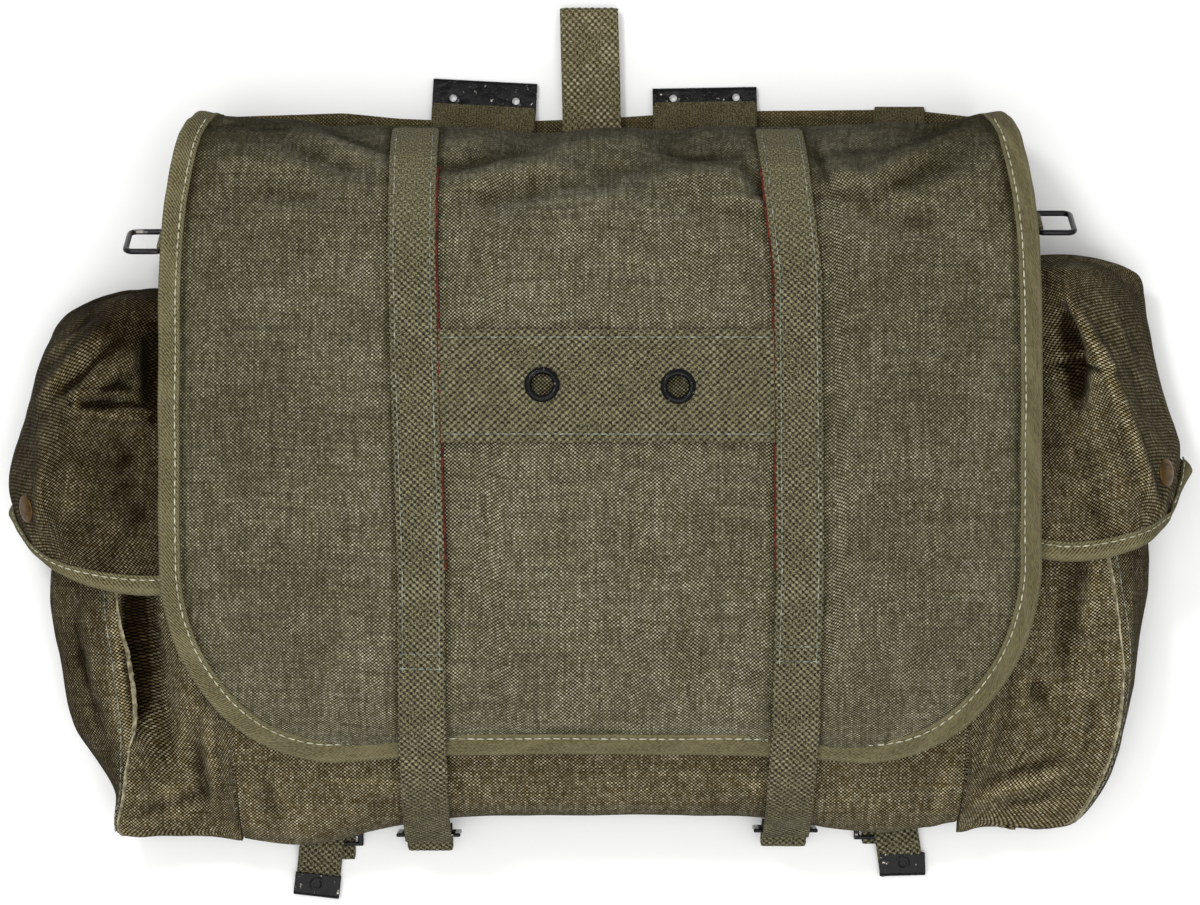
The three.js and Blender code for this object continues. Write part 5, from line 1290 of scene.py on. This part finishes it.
for side in sides:
    loop = roundedLoop(ring["bar"], ring["depth"], ring["corner"])
    stops = ringFrame(side, np.stack([loop[:, 0], np.zeros(len(loop)), loop[:, 1]], -1))
    flat = ringFrame(side, [0, 1, 0]) - ringFrame(side, [0, 0, 0])
    obj = tubeLoop(f"ring_{side}", stops, ring["wire"], flat, "phosphated steel")
    finishPiece(obj, [f"side_ring_{side}"], body=f"{side}_ring")
    tail, high, low = keeper["tail"]
    grip, mouth = keeper["grip"], keeper["mouth"]
    bulge = 0.72 * grip
    half = [(-tail, high), (-tail, low), (-mouth, grip + 0.6), (-1.5, grip), (bulge, bulge), (grip, 0)]
    route = np.array(half + [(out, -up) for out, up in half[-2::-1]]) * mm
    at = np.linspace(0, len(route) - 1, 120)
    line = np.stack([splineAt(route[:, 0], at), splineAt(route[:, 1], at), np.zeros(120)], -1)
    path = ringFrame(side, line)
    ahead = unit(np.gradient(line, axis=0))
    facing = np.stack([-ahead[:, 1], ahead[:, 0], np.zeros(120)], -1)
    facing = ringFrame(side, facing) - ringFrame(side, np.zeros(3))
    webStrip(f"keeper_{side}", path, facing, "ribbed", keeper["width"], keeper["thick"],
             f"ring_keeper_{side}")
print("rings and keepers")


# Haul loop at the top: a strip doubled back on itself
haul = {
    "x": -4.4, "lean": (1.6, 180.0, 240.0), "width": 31.8 * mm, "thick": 2 * mm, "low": 2.15, "high": 8.75,
    "tip": 243.4, "root": 174, "end": 175, "lowStop": 199, "highStop": 213.4,
}
radius = (haul["high"] - haul["low"]) / 2
bend = np.linspace(-np.pi / 2, np.pi / 2, 24)
yz = [(haul["root"], haul["low"]), (haul["lowStop"], haul["low"])]
yz += [(haul["tip"] - radius + radius * math.cos(a), haul["low"] + radius + radius * math.sin(a))
       for a in bend]
yz += [(haul["highStop"], haul["high"]), (haul["end"], haul["high"])]
aside, leanFrom, leanTo = haul["lean"]
path = np.array([(haul["x"] - aside * smoothStep(y, leanFrom, leanTo), y, z) for y, z in yz]) * mm
lengths = lengthsOf(path)
path = alongPath(path, lengths, np.linspace(0, lengths[-1], 300))
webStrip("haul_strip", path, stripFacing(path), "haul", haul["width"], haul["thick"], "haul_loop",
         "worn haul webbing")


# Flat webs at the top edge, and the hooks below them: steel plate folded over at the top, with two holes
hooks = {
    "left": {"x": -64, "webTop": 188, "plateTop": 203.6, "holeY": 193.5, "turn": -3},
    "right": {"x": 57.6, "webTop": 190, "plateTop": 200, "holeY": 194.5, "turn": 1},
    "root": 173.8, "pivot": 6, "webZ": 5.55, "webThick": 2, "tuck": 4, "edge": 0.25 * mm,
    "wide": 57, "low": 0.1, "high": 3.15, "plate": 1.0, "cell": 0.7,
    "topLeg": 176, "bottomLeg": 190, "hole": 2.1, "holeX": 17.2,
    "dimple": (0.35, 1.1), "raised": (0.45, 0.7), "uneven": (0.18, 9.0),  # height and size
}


def addBevel(obj, width, segments):
    bevel = obj.modifiers.new("edge", "BEVEL")
    bevel.width, bevel.segments = width, segments
    bevel.limit_method, bevel.angle_limit = "ANGLE", math.radians(50)


def foldedPlate(name, matrix, size, fold, topEnd, bottomEnd, holes, emboss, node):
    # plate folded at y = fold, its legs down to topEnd and bottomEnd; sizes in mm, placed by the matrix
    width, low, high, plate, cell = (size[key] for key in ("wide", "low", "high", "plate", "cell"))
    radius = (high - low) / 2
    bend = np.linspace(-np.pi / 2, np.pi / 2, 9)[1:-1]
    bottom = np.linspace(bottomEnd, fold - radius, max(3, round((fold - radius - bottomEnd) / cell)))
    top = np.linspace(fold - radius, topEnd, max(3, round((fold - radius - topEnd) / cell)))
    section = [(y, low) for y in bottom]
    section += [(fold - radius + radius * math.cos(a), low + radius + radius * math.sin(a)) for a in bend]
    section = np.array(section + [(y, high) for y in top])
    x = np.linspace(-width / 2, width / 2, round(width / cell) + 1)
    points = np.stack(np.broadcast_arrays(x[None, :], section[:, None, 0], section[:, None, 1]), -1).copy()
    keep = np.ones((len(section) - 1, len(x) - 1), bool)
    middle = (points[:-1, :-1] + points[1:, 1:]) / 2
    halfway = (low + high) / 2
    dimple, dimpleWide = hooks["dimple"]
    for holeX, holeY, rim in holes:
        off = points[..., :2] - [holeX, holeY]
        far = np.linalg.norm(off, axis=-1)
        near = np.abs(far - rim) < 0.8 * cell
        onRim = [holeX, holeY] + off / np.maximum(far, 1e-6)[..., None] * rim
        points[..., :2] = np.where(near[..., None], onRim, points[..., :2])
        keep &= np.linalg.norm(middle[..., :2] - [holeX, holeY], axis=-1) > rim
        points[..., 2] -= dimple * np.exp(-((far - rim) / dimpleWide) ** 2) * (points[..., 2] > halfway)
    raised, raisedWide = hooks["raised"]
    for ringX, ringY, rim in emboss:
        far = np.hypot(points[..., 0] - ringX, points[..., 1] - ringY)
        points[..., 2] += raised * np.exp(-((far - rim) / raisedWide) ** 2) * (points[..., 2] > halfway)
    uneven, unevenWide = hooks["uneven"]
    points[..., 2] += uneven * softNoise(points, unevenWide, 15) * (points[..., 2] > halfway)
    turned = points @ np.array(matrix.to_3x3()).T + np.array(matrix.translation)
    core = np.array(matrix @ Vector((0, (fold + topEnd) / 2, halfway)))
    obj = gridObject(name, turned * mm, "japanned steel", plate * mm, (turned - core) * mm, keep=keep)
    addBevel(obj, hooks["edge"], 2)
    return finishPiece(obj, [node], sharp=40)


for side in sides:
    hook = hooks[side]
    shift = hooks["root"] + hooks["pivot"]
    pivot = Matrix.Translation((hook["x"], shift, 0)) @ Matrix.Rotation(math.radians(hook["turn"]), 4, "Z")
    stop = hook["webTop"] - hooks["root"] - hooks["tuck"]
    stops = np.linspace(-hooks["tuck"], stop, 30)
    path = np.array([pivot @ Vector((0, y, hooks["webZ"])) for y in stops]) * mm
    # these webs use the darker webbing, painted shade beside the lid's top edge
    webStrip(f"hook_strip_{side}", path, straightUp, "ribbed", hooks["wide"] * mm, hooks["webThick"] * mm,
             f"hook_web_{side}", "shaded ribbed webbing")
    holes = [(sign * hooks["holeX"], hook["holeY"] - shift, hooks["hole"]) for sign in (-1, 1)]
    foldedPlate(f"hook_{side}", pivot, hooks, hook["plateTop"] - shift, hooks["topLeg"] - shift,
                hooks["bottomLeg"] - shift, holes, [], f"top_hook_{side}")

# End of a tape that shows at the top edge
stub = {"x": 164, "y": (175, 189.4), "z": 3.45, "width": 28 * mm, "thick": 1.3 * mm}
path = np.array([(stub["x"], y, stub["z"]) for y in np.linspace(*stub["y"], 12)]) * mm
# the stub uses the darker webbing, painted shade beside the lid's top edge
webStrip("tape_stub", path, straightUp, "ribbed", stub["width"], stub["thick"], "tape_end",
         "shaded ribbed webbing")
print("haul loop and hooks")


# Flat slides: three bars and two slots, in rounded steel
slides = {
    "lid": {"wide": 34.5, "tall": 25, "deep": 2, "rail": 2.2, "slot": 28, "place": (-206.2, 27.5)},
    "base": {"wide": 33, "tall": 13, "deep": 1.8, "rail": 2.2, "slot": 27, "z": 3.15},
    "round": 0.75 * mm,
}


def slideObject(name, slide, matrix, node):
    x = [-slide["wide"] / 2, -slide["slot"] / 2, slide["slot"] / 2, slide["wide"] / 2]
    y = [-slide["tall"] / 2, slide["rail"] - slide["tall"] / 2, -slide["rail"] / 2, slide["rail"] / 2,
         slide["tall"] / 2 - slide["rail"], slide["tall"] / 2]
    build = bmesh.new()
    verts = [[build.verts.new(matrix @ Vector((a, b, slide["deep"] / 2)) * mm) for a in x] for b in y]
    for i in range(5):
        for j in range(3):
            if not (j == 1 and i in (1, 3)):
                build.faces.new([verts[i][j], verts[i][j + 1], verts[i + 1][j + 1], verts[i + 1][j]])
    made = bmesh.ops.extrude_face_region(build, geom=build.faces[:])
    down = (matrix.to_3x3() @ Vector((0, 0, -slide["deep"]))) * mm
    bmesh.ops.translate(build, verts=[g for g in made["geom"] if isinstance(g, bmesh.types.BMVert)], vec=down)
    bmesh.ops.recalc_face_normals(build, faces=build.faces)
    mesh = bpy.data.meshes.new(name)
    build.to_mesh(mesh)
    build.free()
    obj = addObject(name, mesh, "japanned steel")
    addBevel(obj, slides["round"], 3)
    return finishPiece(obj, [node], sharp=35)


base = {
    "width": 24 * mm, "thick": 1.8 * mm, "start": -194.6, "short": 1.2, "z": (3.05, 6.2), "rise": (20, 6.5),
    "tab": {"start": -193.6, "z": 1.9, "thick": 1.6 * mm},
    "tip": {"wide": 25, "low": 0.1, "high": 4.2, "plate": 0.8, "cell": 0.7, "long": 12.5,
            "emboss": (0, -7, 3)},
    "left": {"tabX": -146, "startX": -150, "endX": -155.6, "slideY": -209, "reach": 14, "end": -243.4,
             "tipTurn": -6.5},
    "right": {"tabX": 155.5, "startX": 160, "endX": 165.8, "slideY": -205.5, "reach": 9, "end": -232,
              "tipTurn": 1.5},
}
for side in sides:
    slide = slides["lid"]
    y, z = slide["place"]
    place = Matrix.Translation((float(strapX(side, y * mm)) / mm, y + strap["pull"][side] / mm, z))
    upright = place @ Matrix.Rotation(np.pi / 2, 4, "X")
    slideObject(f"slide_{side}", slide, upright, f"lid_buckle_{side}")

    end = base[side]
    last = end["slideY"] - end["reach"]
    tab = base["tab"]
    path = np.array([(end["tabX"], y, tab["z"]) for y in np.linspace(tab["start"], last, 30)]) * mm
    webStrip(f"base_tab_strip_{side}", path, straightUp, "strap", base["width"], tab["thick"],
             f"base_tab_{side}")
    flat = Matrix.Translation((end["tabX"], end["slideY"], slides["base"]["z"]))
    slideObject(f"base_slide_{side}", slides["base"], flat, f"base_buckle_{side}")
    low, high = base["z"]
    y = base["start"] + (end["end"] + base["short"] - base["start"]) * np.linspace(0, 1, 60)
    x = np.interp(y, [end["end"], base["start"]], [end["endX"], end["startX"]])
    z = low + (high - low) * smoothStep(y, *(end["slideY"] - step for step in base["rise"]))
    path = np.stack([x, y, z], -1) * mm
    webStrip(f"base_strip_{side}", path, stripFacing(path), "strap", base["width"], base["thick"],
             f"base_strap_{side}")
    tip = base["tip"]
    turn = Matrix.Rotation(math.pi + math.radians(end["tipTurn"]), 4, "Z")
    place = Matrix.Translation((end["endX"], end["end"], 0)) @ turn
    foldedPlate(f"tip_{side}", place, tip, 0, -tip["long"], -tip["long"], [], [tip["emboss"]],
                f"base_tip_{side}")
print("slides, base straps and tips")


# Stitches: a line of points is resampled at the stitch pitch and a thread is laid at each
stitches = {
    "pitch": 5 * mm, "long": 4.3 * mm, "thick": 0.85 * mm, "wobble": 0.07, "seed": 4,
    "lid": (8.6 * mm, 1.45 * mm), "flap": (6.4 * mm, 1.35 * mm),  # in from the edge, and up from the cloth
    "strap": (9.6 * mm, 0.15 * mm), "strapTop": 168 * mm, "crossHalf": 9.4, "crossRows": (0, 6),
    "gearUp": 0.1 * mm, "gearIn": 16 * mm, "pocketUp": 0.3 * mm, "lidFrom": 2.35,  # lid row where they begin
    "redOut": 0.3 * mm, "redDown": 1.6 * mm, "redEnds": (-60 * mm, 150 * mm),
}


def stitchGroup():
    tree = bpy.data.node_groups.new("sewn stitches", "GeometryNodeTree")
    sockets = [("Geometry", "Geometry"), ("Pitch", "Float"), ("Length", "Float"), ("Thickness", "Float"),
               ("Wobble", "Float"), ("Seed", "Int"), ("Thread", "Material")]
    for label, kind in sockets:
        tree.interface.new_socket(label, in_out="INPUT", socket_type=f"NodeSocket{kind}")
    tree.interface.new_socket("Geometry", in_out="OUTPUT", socket_type="NodeSocketGeometry")
    given = addNode(tree, "NodeGroupInput").node.outputs
    line = addNode(tree, "GeometryNodeMeshToCurve", {"Mesh": given["Geometry"]})
    spacing = {"Curve": line, "Length": given["Pitch"]}
    spaced = addNode(tree, "GeometryNodeResampleCurve", spacing, mode="LENGTH")
    halfLong, halfThick = (calculate(tree, "MULTIPLY", given[key], 0.5) for key in ("Length", "Thickness"))
    size = addNode(tree, "ShaderNodeCombineXYZ", {0: halfLong, 1: halfThick, 2: halfThick})
    bead = addNode(tree, "GeometryNodeMeshUVSphere", {"Segments": 6, "Rings": 5, "Radius": 1.0})
    lying = addNode(tree, "GeometryNodeTransform", {"Geometry": bead, "Rotation": (0, math.pi / 2, 0)})
    ahead = addNode(tree, "GeometryNodeInputTangent")
    turn = addNode(tree, "FunctionNodeAlignRotationToVector", {"Vector": ahead}, axis="X")
    least = calculate(tree, "MULTIPLY", given["Wobble"], -1.0)
    limits = {"Min": least, "Max": given["Wobble"], "Seed": given["Seed"]}
    sway = addNode(tree, "FunctionNodeRandomValue", limits, data_type="FLOAT_VECTOR")
    swayed = addNode(tree, "FunctionNodeRotateRotation", {"Rotation": turn, "Rotate By": sway})
    laid = addNode(tree, "GeometryNodeInstanceOnPoints",
                   {"Points": spaced, "Instance": lying, "Rotation": swayed, "Scale": size})
    real = addNode(tree, "GeometryNodeRealizeInstances", {"Geometry": laid})
    dressed = addNode(tree, "GeometryNodeSetMaterial", {"Geometry": real, "Material": given["Thread"]})
    addNode(tree, "NodeGroupOutput", {"Geometry": dressed})
    return tree


stitchTree = stitchGroup()


def sew(name, lines, thread, pitch=1.0, thick=1.0, overlap=1.0):
    # every line of one thread becomes one mesh
    verts, edges = [], []
    for line in lines:
        first = len(verts)
        verts += np.asarray(line).tolist()
        edges += [(first + k, first + k + 1) for k in range(len(line) - 1)]
    mesh = bpy.data.meshes.new(name)
    mesh.from_pydata(verts, edges, [])
    obj = addObject(name, mesh)
    modifier = obj.modifiers.new("stitches", "NODES")
    modifier.node_group = stitchTree
    chosen = {"Pitch": stitches["pitch"] * pitch, "Length": stitches["long"] * pitch * overlap,
              "Thickness": stitches["thick"] * thick, "Wobble": stitches["wobble"], "Seed": stitches["seed"],
              "Thread": materials[thread]}
    for item in stitchTree.interface.items_tree:
        if item.in_out == "INPUT" and item.name in chosen:
            modifier[item.identifier] = chosen[item.name]
    obj.data.update()
    return finishPiece(obj, sharp=80)


shown = walkRows > stitches["lidFrom"]
inset, up = stitches["lid"]
paleLines = [(lidEdge + lidInward * inset + lidEdgeNormal * up)[shown]]
inset, up = stitches["flap"]
for side in sides:
    edge, edgeNormal, inward = flapGrids[side][3:]
    paleLines.append((edge + inward * inset + edgeNormal * up)[3:-3])
sew("tape_stitches", paleLines, "pale thread")

greyLines, redLines = [], []
for side, sign in sides.items():
    path, facing = strapPaths[side]
    sewn = (path[:, 1] > strap["seamEnd"][side]) & (path[:, 1] < stitches["strapTop"])
    across = unit(np.cross(facing, np.gradient(path, axis=0)))
    inset, lift = stitches["strap"]
    up = facing * lift
    for shift in (-1, 1):
        greyLines.append((path + across * shift * inset + up)[sewn])
    end = np.where(sewn)[0][-1]
    half = stitches["crossHalf"]
    for behind in stitches["crossRows"]:
        step = path[end - behind] + up[end]
        greyLines.append([step + across[end] * s * mm for s in np.linspace(-half, half, 6)])
    inner = across * np.sign(across[:, :1]) * (-sign) * (strap["width"] / 2 + stitches["redOut"])
    low, high = stitches["redEnds"]
    redLines.append((path - facing * stitches["redDown"] + inner)[(path[:, 1] > low) & (path[:, 1] < high)])
for y in (gearWeb["top"] - gearWeb["seamIn"], gearWeb["bottom"] + gearWeb["seamIn"]):
    left, right = float(strapX("left", y)), float(strapX("right", y))
    x = np.linspace(left + stitches["gearIn"], right - stitches["gearIn"], 120)
    spots, normals = lidAt(x, y)
    greyLines.append(spots + normals * (webUp + stitches["gearUp"]))


def pocketLine(side, column, first, last):
    # one column of a pocket's grid between two rows, with its normals
    points, normals, rowsAt = pocketGrids[side]
    column = int(np.argmin(np.abs(pocketCloth["columns"] - column)))
    seen = (rowsAt > first) & (rowsAt < last)
    return points[seen, column], normals[seen, column]


for side in sides:
    line, normals = pocketLine(side, *pocketCloth["stitch"])
    greyLines.append(line + normals * stitches["pocketUp"])
sew("strap_stitches", greyLines, "grey thread", 0.85)
sew("red_stitches", redLines, "red thread", 1.0, 2.4, 1.3)
print("stitches sewn")


# Frayed edges standing along the pockets' fins
fray = {
    "tall": 2.2 * mm, "thick": 0.9 * mm, "step": 0.6 * mm, "lean": 1.5 * mm, "ends": 6 * mm,
    "ragged": ((0.35, 1.7 * mm, 3), (0.2, 7 * mm, 4)), "sway": (0.5, 12 * mm, 9),  # share, size and seed
}
for side in sides:
    line, up = pocketLine(side, *pocketCloth["fin"])
    far = lengthsOf(line)
    walk = np.arange(0, far[-1], fray["step"])
    line, up = alongPath(line, far, walk), unit(alongPath(up, far, walk))
    ahead = unit(np.gradient(line, axis=0))
    out = unit(np.cross(ahead, up))
    ragged = 1
    for share, size, seed in fray["ragged"]:
        ragged = ragged + share * softNoise(line, size, seed)
    ragged *= smoothStep(np.minimum(walk, walk[-1] - walk), 0, fray["ends"])
    rise = np.linspace(-0.4, 1, 6)
    share, size, seed = fray["sway"]
    lean = share * softNoise(line, size, seed)[:, None] * np.maximum(rise, 0) ** 2
    points = line[:, None] + up[:, None] * (rise[None, :] * ragged[:, None] * fray["tall"])[..., None]
    points = points + out[:, None] * (lean * fray["lean"])[..., None] + out[:, None] * (fray["thick"] / 2)
    strip = gridObject(f"fray_{side}", points, "frayed duck", fray["thick"], out[:, None])
    finishPiece(strip)
print("frayed edges")
# Floor, light and camera: the bag lies on a pale floor and is seen from straight above
stage = {
    "floor": "#fdfdfc", "floorSize": 6, "floorDrop": 0.2 * mm, "world": 0.62, "ground": 0.15,
    "horizon": (-0.15, 0.25), "height": 2.2, "lens": 120.288, "sensor": 36, "clip": (0.05, 20),
    "softbox": {"place": (0.1, -0.7, 2.2), "size": 2.2, "power": 34},
    "key": {"place": (-0.75, 0.95, 1.9), "size": 0.35, "power": 13},  # gives the metal its highlights
}
floorMesh = bpy.data.meshes.new("floor")
half = stage["floorSize"] / 2
corners = [(-half, -half, 0), (half, -half, 0), (half, half, 0), (-half, half, 0)]
floorMesh.from_pydata(corners, [], [(0, 1, 2, 3)])
floor = addObject("floor", floorMesh)
floor.location.z = -stage["floorDrop"]
floorMaterial, tree = newMaterial("matt floor")
finishSurface(tree, {"Base Color": hexColour(stage["floor"]), "Roughness": 0.9})
floorMesh.materials.append(floorMaterial)
floor.visible_diffuse = False  # so the pale floor does not brighten the cloth

world = bpy.data.worlds.new("studio")
bpy.context.scene.world = world
world.use_nodes = True
tree = world.node_tree
sky = tree.nodes["Background"]
sky.inputs["Strength"].default_value = stage["world"]
ray = addNode(tree, "ShaderNodeTexCoord", output="Generated")
upward = addNode(tree, "ShaderNodeSeparateXYZ", {0: ray}).node.outputs[2]
tree.links.new(mapRange(tree, upward, *stage["horizon"], stage["ground"], 1.0), sky.inputs["Color"])

for name in ("softbox", "key"):
    look = stage[name]
    lamp = bpy.data.lights.new(name, "AREA")
    lamp.size, lamp.energy = look["size"], look["power"]
    lampObject = bpy.data.objects.new(name, lamp)
    lampObject.location = look["place"]
    lampObject.rotation_euler = (-Vector(look["place"])).to_track_quat("-Z", "Y").to_euler()
    bpy.context.scene.collection.objects.link(lampObject)

camera = bpy.data.cameras.new("camera")
camera.lens, camera.sensor_width, camera.sensor_fit = stage["lens"], stage["sensor"], "HORIZONTAL"
camera.clip_start, camera.clip_end = stage["clip"]
cameraObject = bpy.data.objects.new("camera", camera)
cameraObject.location = (0, 0, stage["height"])
bpy.context.scene.collection.objects.link(cameraObject)
bpy.context.scene.camera = cameraObject
bpy.context.scene.view_settings.view_transform = "Standard"

print("stage set")
